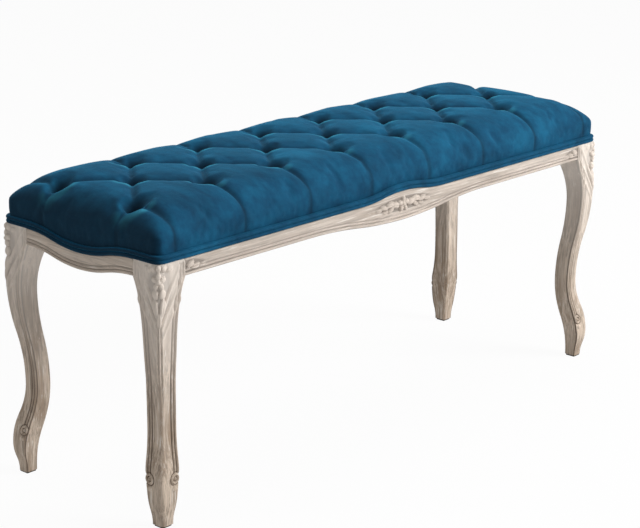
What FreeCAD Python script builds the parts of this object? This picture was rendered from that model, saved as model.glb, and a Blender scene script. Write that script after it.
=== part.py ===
import FreeCAD, Part
import math
import os
from FreeCAD import Vector

# Upholstered bench. X runs along the seat, -Y is the front, Z is up.
# The origin lies on the floor under the middle of the bench. Lengths are in millimetres.

doc = FreeCAD.newDocument("UpholsteredBench")

# Driving dimensions

SIZES = (
    ("frame_length", 1120.0, "outside of the posts, left to right"),
    ("frame_depth", 352.0, "outside of the posts, front to rear"),
    ("show_top", 422.0, "floor to the top edge of the visible wood"),
    ("rail_height", 27.0, "visible height of a rail beside its post"),
    ("rail_thickness", 28.0, "rail, outside to inside"),
    ("rebate_depth", 6.0, "step behind the visible wood, where the cover is fixed"),
    ("tack_rise", 8.0, "frame core above the visible wood"),
    ("crest_rise", 9.0, "carved crest above the long rail's top edge"),
    ("crest_reach", 104.0, "middle of the long rail to the foot of its crest"),
    ("apron_drop", 14.0, "dip of the long rail's lower edge"),
    ("apron_reach", 225.0, "middle of the long rail to the start of its dip"),
    ("end_dip", 15.0, "dip of both edges of an end rail"),
    ("tenon_length", 22.0, "rail tenon inside its post"),
    ("tenon_thickness", 10.0, "rail tenon, across the rail"),
    ("tenon_height", 17.0, "rail tenon, up and down"),
    ("tenon_setback", 9.0, "outside of the rail to its tenon"),
    ("tenon_raise", 6.0, "rail's lower edge at the post to its tenon"),
    ("joint_clearance", 0.1, "tenon to mortise, on each side"),
    ("post_width", 55.0, "post beside the rails, both ways"),
    ("foot_setback", 5.0, "post face to the outer face of the toe"),
    ("foot_reach", 28.0, "post face to the inner face of the toe"),
    ("scroll_height", 50.0, "floor to the widest part of the foot"),
    ("scroll_out", 1.5, "foot scroll beyond the post face"),
    ("ankle_height", 155.0, "floor to the hollow of the leg"),
    ("ankle_setback", 15.5, "post face to the outer face of the hollow"),
    ("ankle_reach", 47.0, "post face to the inner face of the hollow"),
    ("calf_height", 308.0, "floor to the narrow place under the knee"),
    ("calf_reach", 36.0, "post face to the inner face of the calf"),
    ("knee_height", 335.0, "floor to the fullest part of the knee"),
    ("knee_out", 1.5, "knee beyond the post face"),
    ("leg_bevel", 2.1, "bevel on the leg's outer corner, in from each outer face"),
    ("glide_thickness", 3.0, "glide under a foot"),
    ("glide_margin", 2.5, "edge of the toe to its glide"),
    ("board_thickness", 9.0, "plywood seat board"),
    ("foam_thickness", 31.0, "foam pad on the board"),
    ("foam_margin", 10.0, "post face to the foam pad"),
    ("cover_thickness", 2.0, "cover where it lies against the frame"),
    ("cushion_corner", 12.0, "rounding of the cover's corners at the welt"),
    ("cushion_bulge", 1.8, "swell of the cushion's sides above the welt"),
    ("side_rise", 26.0, "top of the welt to the start of the cushion's shoulder"),
    ("crown_rise", 42.0, "start of the shoulder to the crown"),
    ("crown_reach", 120.0, "side of the cushion to its level crown"),
    ("long_draw_in", 3.0, "hollow of the cushion's long sides between corners"),
    ("end_tuft_inset", 37.8, "outside of the end posts to the last tufts"),
    ("side_tuft_inset", 91.0, "outside of the long rails to the outer rows of tufts"),
    ("tuft_depth_left", 14.0, "seat board to the bottom of a tuft"),
    ("puff_rise", 2.5, "swell of a puff above its edges"),
    ("fold_depth", 13.0, "depth of the folds between tufts"),
    ("fold_reach", 25.0, "middle of a fold to its lip"),
    ("pleat_share", 0.4, "depth of a pleat in the side, as a share of a fold's"),
    ("button_width", 14.0, "covered button"),
    ("button_height", 5.0, "covered button"),
    ("button_clearance", 0.5, "button to the cover around it"),
    ("button_seat", 0.9, "floor of a tuft to its button, which the last crease fills"),
    ("well_width", 26.0, "square well in the foam under a tuft"),
    ("twine_width", 1.6, "tufting twine"),
    ("hole_clearance", 0.25, "fastener or twine to the wall of its hole"),
    ("welt_cord", 6.2, "one cord of the double welt"),
    ("welt_gap", 0.8, "cover to the back of the welt"),
    ("soft_clearance", 0.3, "soft pieces to the wood beside them"),
    ("block_arm", 62.0, "corner block along each rail, from the post"),
    ("block_height", 24.0, "corner block"),
    ("block_drop", 8.0, "seat board to the top of a corner block"),
    ("cleat_width", 18.0, "cleat inside a long rail"),
    ("brace_width", 34.0, "cross brace under the board"),
    ("bolt_width", 8.0, "hanger bolt"),
    ("bolt_bite", 26.0, "hanger bolt inside the post"),
    ("bolt_tail", 15.0, "hanger bolt beyond the block"),
    ("washer_width", 18.0, "washer on a hanger bolt"),
    ("washer_thickness", 1.6, "washer on a hanger bolt"),
    ("nut_width", 13.0, "nut across its flats"),
    ("nut_thickness", 6.5, "nut on a hanger bolt"),
    ("screw_width", 4.0, "screw from a block into a rail"),
    ("screw_head", 8.0, "head of that screw"),
    ("screw_bite", 14.0, "that screw inside the rail"),
    ("screw_place", 40.0, "post to that screw, along the rail"),
    ("staple_crown", 10.0, "crown of a staple"),
    ("staple_leg", 8.0, "leg of a staple"),
    ("staple_wire", 0.6, "thickness of a staple's crown"),
    ("staple_width", 1.2, "width of a staple's wire"),
    ("cover_staple_spacing", 74.0, "staple to staple round the cover"),
    ("dust_cover_thickness", 0.5, "cloth under the frame"),
    ("dust_staple_spacing", 140.0, "staple to staple under the dust cover"),
    ("board_screw_spacing", 290.0, "screw to screw along a cleat"),
    ("board_screw_bite", 18.0, "board screw inside its cleat"),
)

sheet = doc.addObject("Spreadsheet::Sheet", "Sizes")
for row, (alias, value, meaning) in enumerate(SIZES, start=1):
    sheet.set(f"A{row}", meaning)
    sheet.set(f"B{row}", str(value))
    sheet.setAlias(f"B{row}", alias)
doc.recompute()


def size(alias):
    """A driving dimension, read from the sheet."""
    return float(sheet.get(alias))


# Places worked out from the driving dimensions

half_length = size("frame_length") / 2
half_depth = size("frame_depth") / 2
post = size("post_width")
show_top = size("show_top")
rail_bottom = show_top - size("rail_height")
core_top = show_top + size("tack_rise")
board_top = core_top + size("board_thickness")
rebate = size("rebate_depth")
cover_margin = rebate - size("cover_thickness")
core_corner = size("cushion_corner") - size("cover_thickness")
welt_foot = show_top + size("soft_clearance")
welt_top = welt_foot + 2 * size("welt_cord")
side_top = welt_top + size("side_rise")
side_margin = cover_margin - size("cushion_bulge")
tuft_floor = board_top + size("tuft_depth_left")
button_level = tuft_floor + size("button_seat")
block_top = core_top - size("block_drop")
block_bottom = block_top - size("block_height")
UP = Vector(0, 0, 1)
FLATNESS = 1e-7
TURNED_SIDES = 12
parts = []


def keep(obj, label):
    """Give a sub-part its label and list it for export."""
    obj.Label = label
    parts.append(obj)
    return obj


def form(label, shape):
    """A sub-part whose form needs lofts or curves of its own."""
    obj = doc.addObject("Part::Feature", label)
    obj.Shape = shape
    obj.Placement = FreeCAD.Placement()
    return keep(obj, label)


def mirrored(label, source, normal):
    """The same piece on the other side of the bench."""
    obj = doc.addObject("Part::Mirroring", label)
    obj.Source = source
    obj.Base = Vector(0, 0, 0)
    obj.Normal = normal
    return keep(obj, label)


def bound_box(name, lengths, place):
    """A plain box whose three lengths and place are bound to the sheet."""
    obj = doc.addObject("Part::Box", name)
    for length, expression in zip(("Length", "Width", "Height"), lengths):
        obj.setExpression(length, expression)
    for axis, expression in zip("xyz", place):
        obj.setExpression(f"Placement.Base.{axis}", expression)
    return obj


def box(low, high):
    """A solid box between two corners."""
    extent = high - low
    return Part.makeBox(extent.x, extent.y, extent.z, low)


def ogee(start, end):
    """Two tangent arcs from start to end, level at both."""
    middle = (start + end) * 0.5
    run = Vector(middle.x - start.x, middle.y - start.y, 0)
    rise = middle.z - start.z
    radius = (run.Length ** 2 + rise ** 2) / (2 * abs(rise))
    half_turn = math.asin(run.Length / radius) / 2
    ahead = run.normalize() * radius * math.sin(half_turn)
    upward = UP * math.copysign(radius * (1 - math.cos(half_turn)), rise)
    return [
        Part.Arc(start, start + ahead + upward, middle).toShape(),
        Part.Arc(middle, end - ahead - upward, end).toShape(),
    ]


def ogee_height(distance, reach, rise):
    """Height of a crest or dip at a distance from its middle."""
    distance = min(abs(distance), reach)
    half_run = reach / 2
    radius = (half_run ** 2 + (rise / 2) ** 2) / abs(rise)
    if distance > half_run:
        swing = radius - math.sqrt(radius ** 2 - (reach - distance) ** 2)
        return math.copysign(swing, rise)
    swing = radius - math.sqrt(radius ** 2 - distance ** 2)
    return rise - math.copysign(swing, rise)


def shaped_line(start, end, rise, reach):
    """Edges from start to end, level but for a crest or dip in the middle."""
    middle = (start + end) * 0.5
    ahead = Vector(end - start).normalize()
    foot = middle - ahead * reach
    far_foot = middle + ahead * reach
    edges = ogee(foot, middle + UP * rise) + ogee(middle + UP * rise, far_foot)
    if (foot - start).Length > 1e-6:
        edges.insert(0, Part.makeLine(start, foot))
        edges.append(Part.makeLine(far_foot, end))
    return edges


def outline(margin, corner, level):
    """A rectangle with round corners, set in from the posts' faces."""
    reach_x = half_length - margin
    reach_y = half_depth - margin
    turn = corner * (1 - math.sqrt(0.5))
    edges = []
    for side, (ahead, across) in enumerate((((1, 0), (0, -1)), ((0, 1), (1, 0)),
                                            ((-1, 0), (0, 1)), ((0, -1), (-1, 0)))):
        ahead = Vector(ahead[0], ahead[1], 0)
        across = Vector(across[0], across[1], 0)
        run, out = (reach_x, reach_y) if side % 2 == 0 else (reach_y, reach_x)
        base = UP * level + across * out
        first = base - ahead * (run - corner)
        last = base + ahead * (run - corner)
        edges.append(Part.makeLine(first, last))
        bend = base + ahead * (run - turn) - across * turn
        edges.append(Part.Arc(last, bend, base + ahead * run - across * corner).toShape())
    return Part.Wire(edges)


def prism(wire, height):
    """A face pushed straight up."""
    return Part.Face(wire).extrude(UP * height)


def flat_face(points):
    """A flat face through points in order."""
    return Part.Face(Part.makePolygon(points + points[:1]))


def faceted(sections, closed=False):
    """A solid of flat facets through sections that have equally many points."""
    pairs = list(zip(sections, sections[1:]))
    faces = [] if closed else [flat_face(sections[0]), flat_face(sections[-1])]
    if closed:
        pairs.append((sections[-1], sections[0]))
    for near, far in pairs:
        for i, (a, b) in enumerate(zip(near, near[1:] + near[:1])):
            c, d = far[(i + 1) % len(far)], far[i]
            if abs((b - a).cross(c - a).dot(d - a)) < FLATNESS:
                faces.append(flat_face([a, b, c, d]))
            else:
                faces += [flat_face([a, b, c]), flat_face([a, c, d])]
    shell = Part.makeCompound(faces)
    shell.sewShape()
    return Part.makeSolid(shell.Shells[0])


def turned(place, along, rings):
    """A small round piece with flat sides, from (distance, radius) rings along its axis."""
    aside = along.cross(UP if abs(along.z) < 0.5 else Vector(1, 0, 0)).normalize()
    beside = along.cross(aside)
    sections = []
    for distance, radius in rings:
        middle = place + along * distance
        angles = [2 * math.pi * i / TURNED_SIDES for i in range(TURNED_SIDES)]
        sections.append([middle + (aside * math.cos(angle) + beside * math.sin(angle)) * radius
                         for angle in angles])
    return faceted(sections)


def staple(place, along, inward, clearance=0.0):
    """A staple with its crown on a surface and both legs driven inward."""
    half_crown = size("staple_crown") / 2
    wire = size("staple_wire")
    half_width = size("staple_width") / 2 + clearance
    leg = size("staple_leg") + clearance
    beside = along.cross(inward)

    def bar(low_along, high_along, low_in, high_in):
        low = place + along * low_along + inward * low_in - beside * half_width
        high = place + along * high_along + inward * high_in + beside * half_width
        return box(Vector(min(low.x, high.x), min(low.y, high.y), min(low.z, high.z)),
                   Vector(max(low.x, high.x), max(low.y, high.y), max(low.z, high.z)))

    top = 0.0 if clearance else -wire
    legs = [
        bar(-half_crown - clearance, -half_crown + wire + clearance, top, leg),
        bar(half_crown - wire - clearance, half_crown + clearance, top, leg),
    ]
    if clearance:
        return Part.makeCompound(legs)
    crown = bar(-half_crown, half_crown, -wire, 0.0)
    return crown.fuse(legs).removeSplitter()


# Tufts: outer rows of eight, and a middle row of seven between them

OUTER_ROW = 8
tuft_spacing = 2 * (half_length - size("end_tuft_inset")) / (OUTER_ROW - 1)
row_spacing = half_depth - size("side_tuft_inset")
row_places = [(i - (OUTER_ROW - 1) / 2) * tuft_spacing for i in range(OUTER_ROW)]
middle_places = [(i - (OUTER_ROW - 2) / 2) * tuft_spacing for i in range(OUTER_ROW - 1)]
tufts = [Vector(x, 0, 0) for x in middle_places]
for row_y in (-row_spacing, row_spacing):
    tufts += [Vector(x, row_y, 0) for x in row_places]

# Staples that hold the cover in the rebate, above the visible wood

STAPLE_ABOVE_WOOD = 4.0
cover_staples = []
long_count = int(2 * (half_length - post) / size("cover_staple_spacing"))
end_count = int(2 * (half_depth - post) / size("cover_staple_spacing"))
for i in range(long_count):
    x = (i - (long_count - 1) / 2) * size("cover_staple_spacing")
    z = show_top + ogee_height(x, size("crest_reach"), size("crest_rise")) + STAPLE_ABOVE_WOOD
    for side in (-1, 1):
        place = Vector(x, side * (half_depth - cover_margin), z)
        cover_staples.append((place, Vector(1, 0, 0), Vector(0, -side, 0)))
for i in range(end_count):
    y = (i - (end_count - 1) / 2) * size("cover_staple_spacing")
    z = show_top - abs(ogee_height(y, half_depth - post, size("end_dip"))) + STAPLE_ABOVE_WOOD
    for side in (-1, 1):
        place = Vector(side * (half_length - cover_margin), y, z)
        cover_staples.append((place, Vector(0, 1, 0), Vector(-side, 0, 0)))

# Places of the corner hardware, for the front left corner

post_corner = Vector(-half_length + post, -half_depth + post, (block_top + block_bottom) / 2)
diagonal = Vector(1, 1, 0).normalize()
arm = size("block_arm")
face_distance = (arm - (post - size("rail_thickness"))) / math.sqrt(2)
screw_level = post_corner.z
screw_depth = arm - size("screw_place")


def at_corners(shape):
    """Copies of a front left shape at all four corners."""
    left = [shape, shape.mirror(Vector(0, 0, 0), Vector(0, 1, 0))]
    return left + [piece.mirror(Vector(0, 0, 0), Vector(1, 0, 0)) for piece in left]


def bolt_shank(clearance):
    """Hanger bolt, or the bore for it, from inside the post to beyond the block."""
    start = -size("bolt_bite") - clearance
    end = face_distance + size("bolt_tail") + clearance
    radius = size("bolt_width") / 2 + clearance
    return turned(post_corner, diagonal, ((start, radius), (end, radius)))


def block_screws(clearance):
    """One screw into the long rail and one into the end rail, or the bores for them."""
    screws = []
    radius = size("screw_width") / 2 + clearance
    head_radius = size("screw_head") / 2 + clearance
    seat = size("screw_bite") + screw_depth / 2
    end = seat + (arm if clearance else size("screw_head") / 2)
    depth = size("rail_thickness") - size("screw_bite")
    for along, across in ((Vector(1, 0, 0), Vector(0, 1, 0)), (Vector(0, 1, 0), Vector(1, 0, 0))):
        corner = Vector(-half_length, -half_depth, screw_level)
        foot = corner + along * (post + size("screw_place")) + across * depth
        shank = turned(foot, across, ((-clearance, radius), (seat, radius)))
        head = turned(foot, across, ((seat, head_radius), (end, head_radius)))
        screws.append(shank.fuse(head))
    return screws


# Legs: sawn to one cabriole template from two sides, the post above, the outer corner bevelled


def sway(start, end):
    """Two tangent arcs from start up to end, upright at both."""
    middle = (start + end) * 0.5
    run = Vector(middle.x - start.x, middle.y - start.y, 0)
    rise = middle.z - start.z
    radius = (rise ** 2 + run.Length ** 2) / (2 * run.Length)
    half_turn = math.asin(abs(rise) / radius) / 2
    ahead = UP * math.copysign(radius * math.sin(half_turn), rise)
    aside = run.normalize() * radius * (1 - math.cos(half_turn))
    return [
        Part.Arc(start, start + ahead + aside, middle).toShape(),
        Part.Arc(middle, end - ahead - aside, end).toShape(),
    ]


def leg_template(ahead, bevel, reach):
    """The leg's outline in an upright plane through the corner of the front left post."""
    toe = size("glide_thickness")
    calf = size("calf_height")
    outer = [
        (0.0, rail_bottom),
        (-size("knee_out"), size("knee_height")),
        (size("ankle_setback"), size("ankle_height")),
        (-size("scroll_out"), size("scroll_height")),
        (size("foot_setback"), toe),
    ]
    inner = [
        (size("foot_reach"), toe),
        (size("ankle_reach"), size("ankle_height")),
        (size("calf_reach"), calf),
    ]

    def at(inset, level):
        """A point of the template, inset from the corner along both sides of the bench."""
        return Vector(-half_length, -half_depth, level) + ahead * inset

    outer = [at(inset + bevel, level) for inset, level in [(0.0, show_top)] + outer]
    inner = [at(inset + reach, level) for inset, level in inner]
    knee_end = at(post + reach, rail_bottom)
    inner_top = at(post + reach, show_top)
    edges = [Part.makeLine(outer[0], outer[1])]
    for start, end in zip(outer[1:], outer[2:]):
        edges += sway(start, end)
    edges.append(Part.makeLine(outer[-1], inner[0]))
    for start, end in zip(inner, inner[1:]):
        edges += sway(start, end)
    run = knee_end - inner[-1]
    aside = Vector(run.x, run.y, 0)
    radius = run.Length ** 2 / (2 * aside.Length)
    half_turn = math.asin(run.z / radius) / 2
    bend = UP * radius * math.sin(half_turn) + aside.normalize() * radius * (1 - math.cos(half_turn))
    edges.append(Part.Arc(inner[-1], inner[-1] + bend, knee_end).toShape())
    edges += [Part.makeLine(knee_end, inner_top), Part.makeLine(inner_top, outer[0])]
    return Part.Face(Part.Wire(edges))


def mortises():
    """Sockets in the post for the tenons of both rails."""
    gap = size("joint_clearance")
    low_z = rail_bottom + size("tenon_raise") - gap
    high_z = low_z + size("tenon_height") + 2 * gap
    near = size("tenon_setback") - gap
    far = near + size("tenon_thickness") + 2 * gap
    deep = post - size("tenon_length") - gap
    corner = Vector(-half_length, -half_depth, 0)
    return [
        box(corner + Vector(deep, near, low_z), corner + Vector(post, far, high_z)),
        box(corner + Vector(near, deep, low_z), corner + Vector(far, post, high_z)),
    ]


def leg():
    """The front left leg with its post and rebate."""
    shaft = None
    for ahead, bevel, reach in ((Vector(1, 0, 0), 0.0, 0.0), (Vector(0, 1, 0), 0.0, 0.0),
                                (Vector(1, 1, 0), size("leg_bevel"), post)):
        across = Vector(-ahead.y, ahead.x, 0) * 2 * post
        template = leg_template(ahead, bevel, reach)
        template.translate(-across)
        slab = template.extrude(across * 2)
        shaft = shaft.common(slab) if shaft else slab
    post_corner_low = Vector(-half_length, -half_depth, show_top)
    post_square = box(post_corner_low, post_corner_low + Vector(post, post, size("tack_rise")))
    core = prism(outline(rebate, core_corner, show_top), size("tack_rise")).common(post_square)
    return shaft.fuse(core).removeSplitter().cut(mortises() + [bolt_shank(size("hole_clearance"))])


front_left = form("leg_front_left", leg())
rear_left = mirrored("leg_rear_left", front_left, Vector(0, 1, 0))
mirrored("leg_front_right", front_left, Vector(1, 0, 0))
mirrored("leg_rear_right", rear_left, Vector(1, 0, 0))

# Glides under the feet

glide_width = "Sizes.foot_reach - Sizes.foot_setback - 2 * Sizes.glide_margin"
glide_inset = "Sizes.foot_setback + Sizes.glide_margin"
glide_front_left = keep(bound_box("glide", (glide_width, glide_width, "Sizes.glide_thickness"),
                                  (f"{glide_inset} - Sizes.frame_length / 2",
                                   f"{glide_inset} - Sizes.frame_depth / 2", "0")), "glide_front_left")
glide_rear_left = mirrored("glide_rear_left", glide_front_left, Vector(0, 1, 0))
mirrored("glide_front_right", glide_front_left, Vector(1, 0, 0))
mirrored("glide_rear_right", glide_rear_left, Vector(1, 0, 0))

# Rails: visible board with shaped edges, a core behind it up to the seat board, tenons at both ends


def rail(start, end, inward, top_rise, top_reach, bottom_rise, bottom_reach):
    """A rail between two posts, start and end on its outer face at floor level."""
    ahead = Vector(end - start).normalize()
    top = shaped_line(start + UP * show_top, end + UP * show_top, top_rise, top_reach)
    bottom = shaped_line(start + UP * rail_bottom, end + UP * rail_bottom, bottom_rise, bottom_reach)
    show_sides = [Part.makeLine(point + UP * rail_bottom, point + UP * show_top) for point in (start, end)]
    show = Part.Face(Part.Wire(Part.__sortEdges__(top + bottom + show_sides))).extrude(inward * rebate)
    core_line = Part.makeLine(start + UP * core_top, end + UP * core_top)
    core_sides = [Part.makeLine(point + UP * rail_bottom, point + UP * core_top) for point in (start, end)]
    core = Part.Face(Part.Wire(Part.__sortEdges__([core_line] + bottom + core_sides)))
    core.translate(inward * rebate)
    core = core.extrude(inward * (size("rail_thickness") - rebate))
    tenons = []
    for point, outward in ((start, -ahead), (end, ahead)):
        near = point + inward * size("tenon_setback") + UP * (rail_bottom + size("tenon_raise"))
        far = near + outward * size("tenon_length") + inward * size("tenon_thickness")
        far = far + UP * size("tenon_height")
        low = Vector(min(near.x, far.x), min(near.y, far.y), near.z)
        high = Vector(max(near.x, far.x), max(near.y, far.y), far.z)
        tenons.append(box(low, high))
    return show.fuse([core] + tenons).removeSplitter()


def drilled(shape, bores):
    """A rail or board with the bores that reach it."""
    reached = [bore for bore in bores if bore.BoundBox.intersect(shape.BoundBox)]
    return shape.cut(reached) if reached else shape


corner_screws = [screw for pair in block_screws(0.0) for screw in at_corners(pair)]
screw_bores = [bore for pair in block_screws(size("hole_clearance")) for bore in at_corners(pair)]
staple_slots = [staple(*where, size("hole_clearance")) for where in cover_staples]

front_shape = rail(Vector(-half_length + post, -half_depth, 0), Vector(half_length - post, -half_depth, 0),
                   Vector(0, 1, 0), size("crest_rise"), size("crest_reach"),
                   -size("apron_drop"), size("apron_reach"))
front_rail = form("front_rail", drilled(front_shape, screw_bores + staple_slots))
mirrored("rear_rail", front_rail, Vector(0, 1, 0))

left_shape = rail(Vector(-half_length, -half_depth + post, 0), Vector(-half_length, half_depth - post, 0),
                  Vector(1, 0, 0), -size("end_dip"), half_depth - post, -size("end_dip"), half_depth - post)
left_rail = form("left_end_rail", drilled(left_shape, screw_bores + staple_slots))
mirrored("right_end_rail", left_rail, Vector(1, 0, 0))

# Corner blocks: glued and screwed between the rails, drawn against the post by the hanger bolt


def corner_block():
    """The front left corner block, notched round the post's inner corner."""
    inside = size("rail_thickness")
    corners = ((post, inside), (post + arm, inside), (inside, post + arm), (inside, post), (post, post))
    points = [Vector(x - half_length, y - half_depth, block_bottom) for x, y in corners]
    wire = Part.makePolygon(points + [points[0]])
    block = prism(wire, size("block_height"))
    bores = [bolt_shank(size("hole_clearance"))] + block_screws(size("hole_clearance"))
    staple_y = -half_depth + size("rail_thickness") + size("cleat_width") / 2
    where = Vector(-half_length + post + arm / 3, staple_y, block_bottom)
    bores.append(staple(where, Vector(1, 0, 0), UP, size("hole_clearance")))
    return block.cut(bores)


block_front_left = form("corner_block_front_left", corner_block())
block_rear_left = mirrored("corner_block_rear_left", block_front_left, Vector(0, 1, 0))
mirrored("corner_block_front_right", block_front_left, Vector(1, 0, 0))
mirrored("corner_block_rear_right", block_rear_left, Vector(1, 0, 0))

# Corner hardware

form("hanger_bolts", Part.makeCompound(at_corners(bolt_shank(0.0))))


def bolt_washer():
    """The washer between block and nut."""
    face = post_corner + diagonal * face_distance
    hole = bolt_shank(size("hole_clearance"))
    radius = size("washer_width") / 2
    return turned(face, diagonal, ((0.0, radius), (size("washer_thickness"), radius))).cut(hole)


def bolt_nut():
    """The hexagon nut on the washer."""
    face = post_corner + diagonal * (face_distance + size("washer_thickness"))
    across = diagonal.cross(UP)
    radius = size("nut_width") / math.sqrt(3)
    points = []
    for i in range(7):
        angle = math.radians(60 * i)
        points.append(face + across * radius * math.cos(angle) + UP * radius * math.sin(angle))
    nut = Part.Face(Part.makePolygon(points)).extrude(diagonal * size("nut_thickness"))
    return nut.cut(bolt_shank(size("hole_clearance")))


form("bolt_washers", Part.makeCompound(at_corners(bolt_washer())))
form("bolt_nuts", Part.makeCompound(at_corners(bolt_nut())))
form("corner_block_screws", Part.makeCompound(corner_screws))

# Cleats inside the long rails, and two cross braces between them, all under the seat board


cleat_middle_y = half_depth - size("rail_thickness") - size("cleat_width") / 2
cleat_half = half_length - post - arm
dust_level = block_bottom - size("dust_cover_thickness")
dust_staples = []
dust_count = int(2 * cleat_half / size("dust_staple_spacing"))
for i in range(dust_count):
    x = (i - (dust_count - 1) / 2) * size("dust_staple_spacing")
    for side in (-1, 1):
        dust_staples.append((Vector(x, side * cleat_middle_y, dust_level), Vector(1, 0, 0), UP))
block_staple_x = half_length - post - arm / 3
for side_x in (-1, 1):
    for side_y in (-1, 1):
        place = Vector(side_x * block_staple_x, side_y * cleat_middle_y, dust_level)
        dust_staples.append((place, Vector(1, 0, 0), UP))
dust_slots = [staple(*where, size("hole_clearance")) for where in dust_staples]


def board_screws(clearance):
    """Countersunk screws down through the seat board into the cleats, or the bores for them."""
    radius = size("screw_width") / 2 + clearance
    head_radius = size("screw_head") / 2 + clearance
    sink = (size("screw_head") - size("screw_width")) / 2
    tip = -size("board_screw_bite") - clearance
    top = size("board_thickness")
    screws = []
    for i in (-1, 0, 1):
        for side in (-1, 1):
            place = Vector(i * size("board_screw_spacing"), side * cleat_middle_y, core_top)
            screws.append(turned(place, UP, ((tip, radius), (top - sink, radius), (top, head_radius))))
    return screws


board_screw_bores = board_screws(size("hole_clearance"))


def bored(label, base, tools):
    """A bound solid less its bores."""
    tool = doc.addObject("Part::Feature", f"{label}_bores")
    tool.Shape = Part.makeCompound(tools)
    cut = doc.addObject("Part::Cut", label)
    cut.Base = base
    cut.Tool = tool
    return keep(cut, label)


cleat_length = "(Sizes.frame_length - 2 * (Sizes.post_width + Sizes.block_arm))"
cleat_height = "(Sizes.block_height + Sizes.block_drop)"
cleat_level = "Sizes.show_top + Sizes.tack_rise - Sizes.block_height - Sizes.block_drop"
rail_inside_y = "(Sizes.frame_depth / 2 - Sizes.rail_thickness)"
cleat_bar = bound_box("cleat_bar", (cleat_length, "Sizes.cleat_width", cleat_height),
                      (f"-{cleat_length} / 2", f"-{rail_inside_y}", cleat_level))
front_cleat = bored("front_cleat", cleat_bar, dust_slots + board_screw_bores)
mirrored("rear_cleat", front_cleat, Vector(0, 1, 0))

BRACE_SHARE = 2.5 / (OUTER_ROW - 1)
brace_length = f"2 * ({rail_inside_y} - Sizes.cleat_width)"
brace_place = f"(Sizes.frame_length / 2 - Sizes.end_tuft_inset) * {BRACE_SHARE}"
left_brace = bound_box("left_cross_brace", ("Sizes.brace_width", brace_length, cleat_height),
                       (f"-{brace_place} - Sizes.brace_width / 2", f"-({brace_length}) / 2", cleat_level))
keep(left_brace, "left_cross_brace")
mirrored("right_cross_brace", left_brace, Vector(1, 0, 0))

# Seat board, drilled for the tufting twine


def twines(clearance):
    """Waxed twines from the buttons down to the underside of the board, or their way through."""
    half_width = size("twine_width") / 2 + clearance
    reach = Vector(half_width, half_width, 0)
    return [box(tuft - reach + UP * core_top, tuft + reach + UP * button_level) for tuft in tufts]


twine_staples = [(tuft + UP * core_top, Vector(1, 0, 0), UP) for tuft in tufts]
twine_slots = [staple(*where, size("hole_clearance")) for where in twine_staples]
board = prism(outline(rebate, core_corner, core_top), size("board_thickness"))
board_cuts = twines(size("hole_clearance")) + twine_slots + staple_slots + board_screw_bores
form("seat_board", board.cut(board_cuts))
form("seat_board_screws", Part.makeCompound(board_screws(0.0)))

# Foam pad with a square well cut out under each tuft

foam_corner = size("cushion_corner")
foam = prism(outline(size("foam_margin"), foam_corner, board_top), size("foam_thickness"))
half_well = size("well_width") / 2
wells = []
for tuft in tufts:
    low = tuft + Vector(-half_well, -half_well, board_top)
    wells.append(box(low, low + Vector(2 * half_well, 2 * half_well, size("foam_thickness"))))
foam_pad = form("foam_pad", foam.cut(wells))

# Tufted cover with its wadding: a crowned cushion with drawn-in sides, folds between the tufts and
# pleats from the outer tufts over the edge

CROWN_ROUND = 4.0
SHOULDER_ROUND = 1.5
SHOULDER_STEPS = (0.05, 0.17)
ROLL_MIDDLE = (0.3, 0.7)
LEAST_CREASE = 0.5
LEAST_RIDGE = 0.6
RIDGE_SHARE = 0.9
END_STEPS = (0.5, 0.8, 0.95)
CUT_MARGIN = 1.0
ROUNDING = 0.001

throat = size("button_width") / 2 + size("button_clearance")
column_step = tuft_spacing / 2
cushion_half = half_length - side_margin
last_column = row_places[-1]


def crown_share(distance):
    """Share of the crown's rise at a distance in from the cushion's side, from 0 to 1."""
    share = min(max(distance / size("crown_reach"), 0.0), 1.0)
    return (1 - (1 - share) ** CROWN_ROUND) ** (1 / SHOULDER_ROUND)


def roll_drop(distance, reach, depth):
    """Depth of a round-edged valley at a distance from its crease."""
    share = min(max(distance / reach, 0.0), 1.0)
    return depth * (1 - math.sqrt(1 - (1 - share) ** 2))


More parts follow.
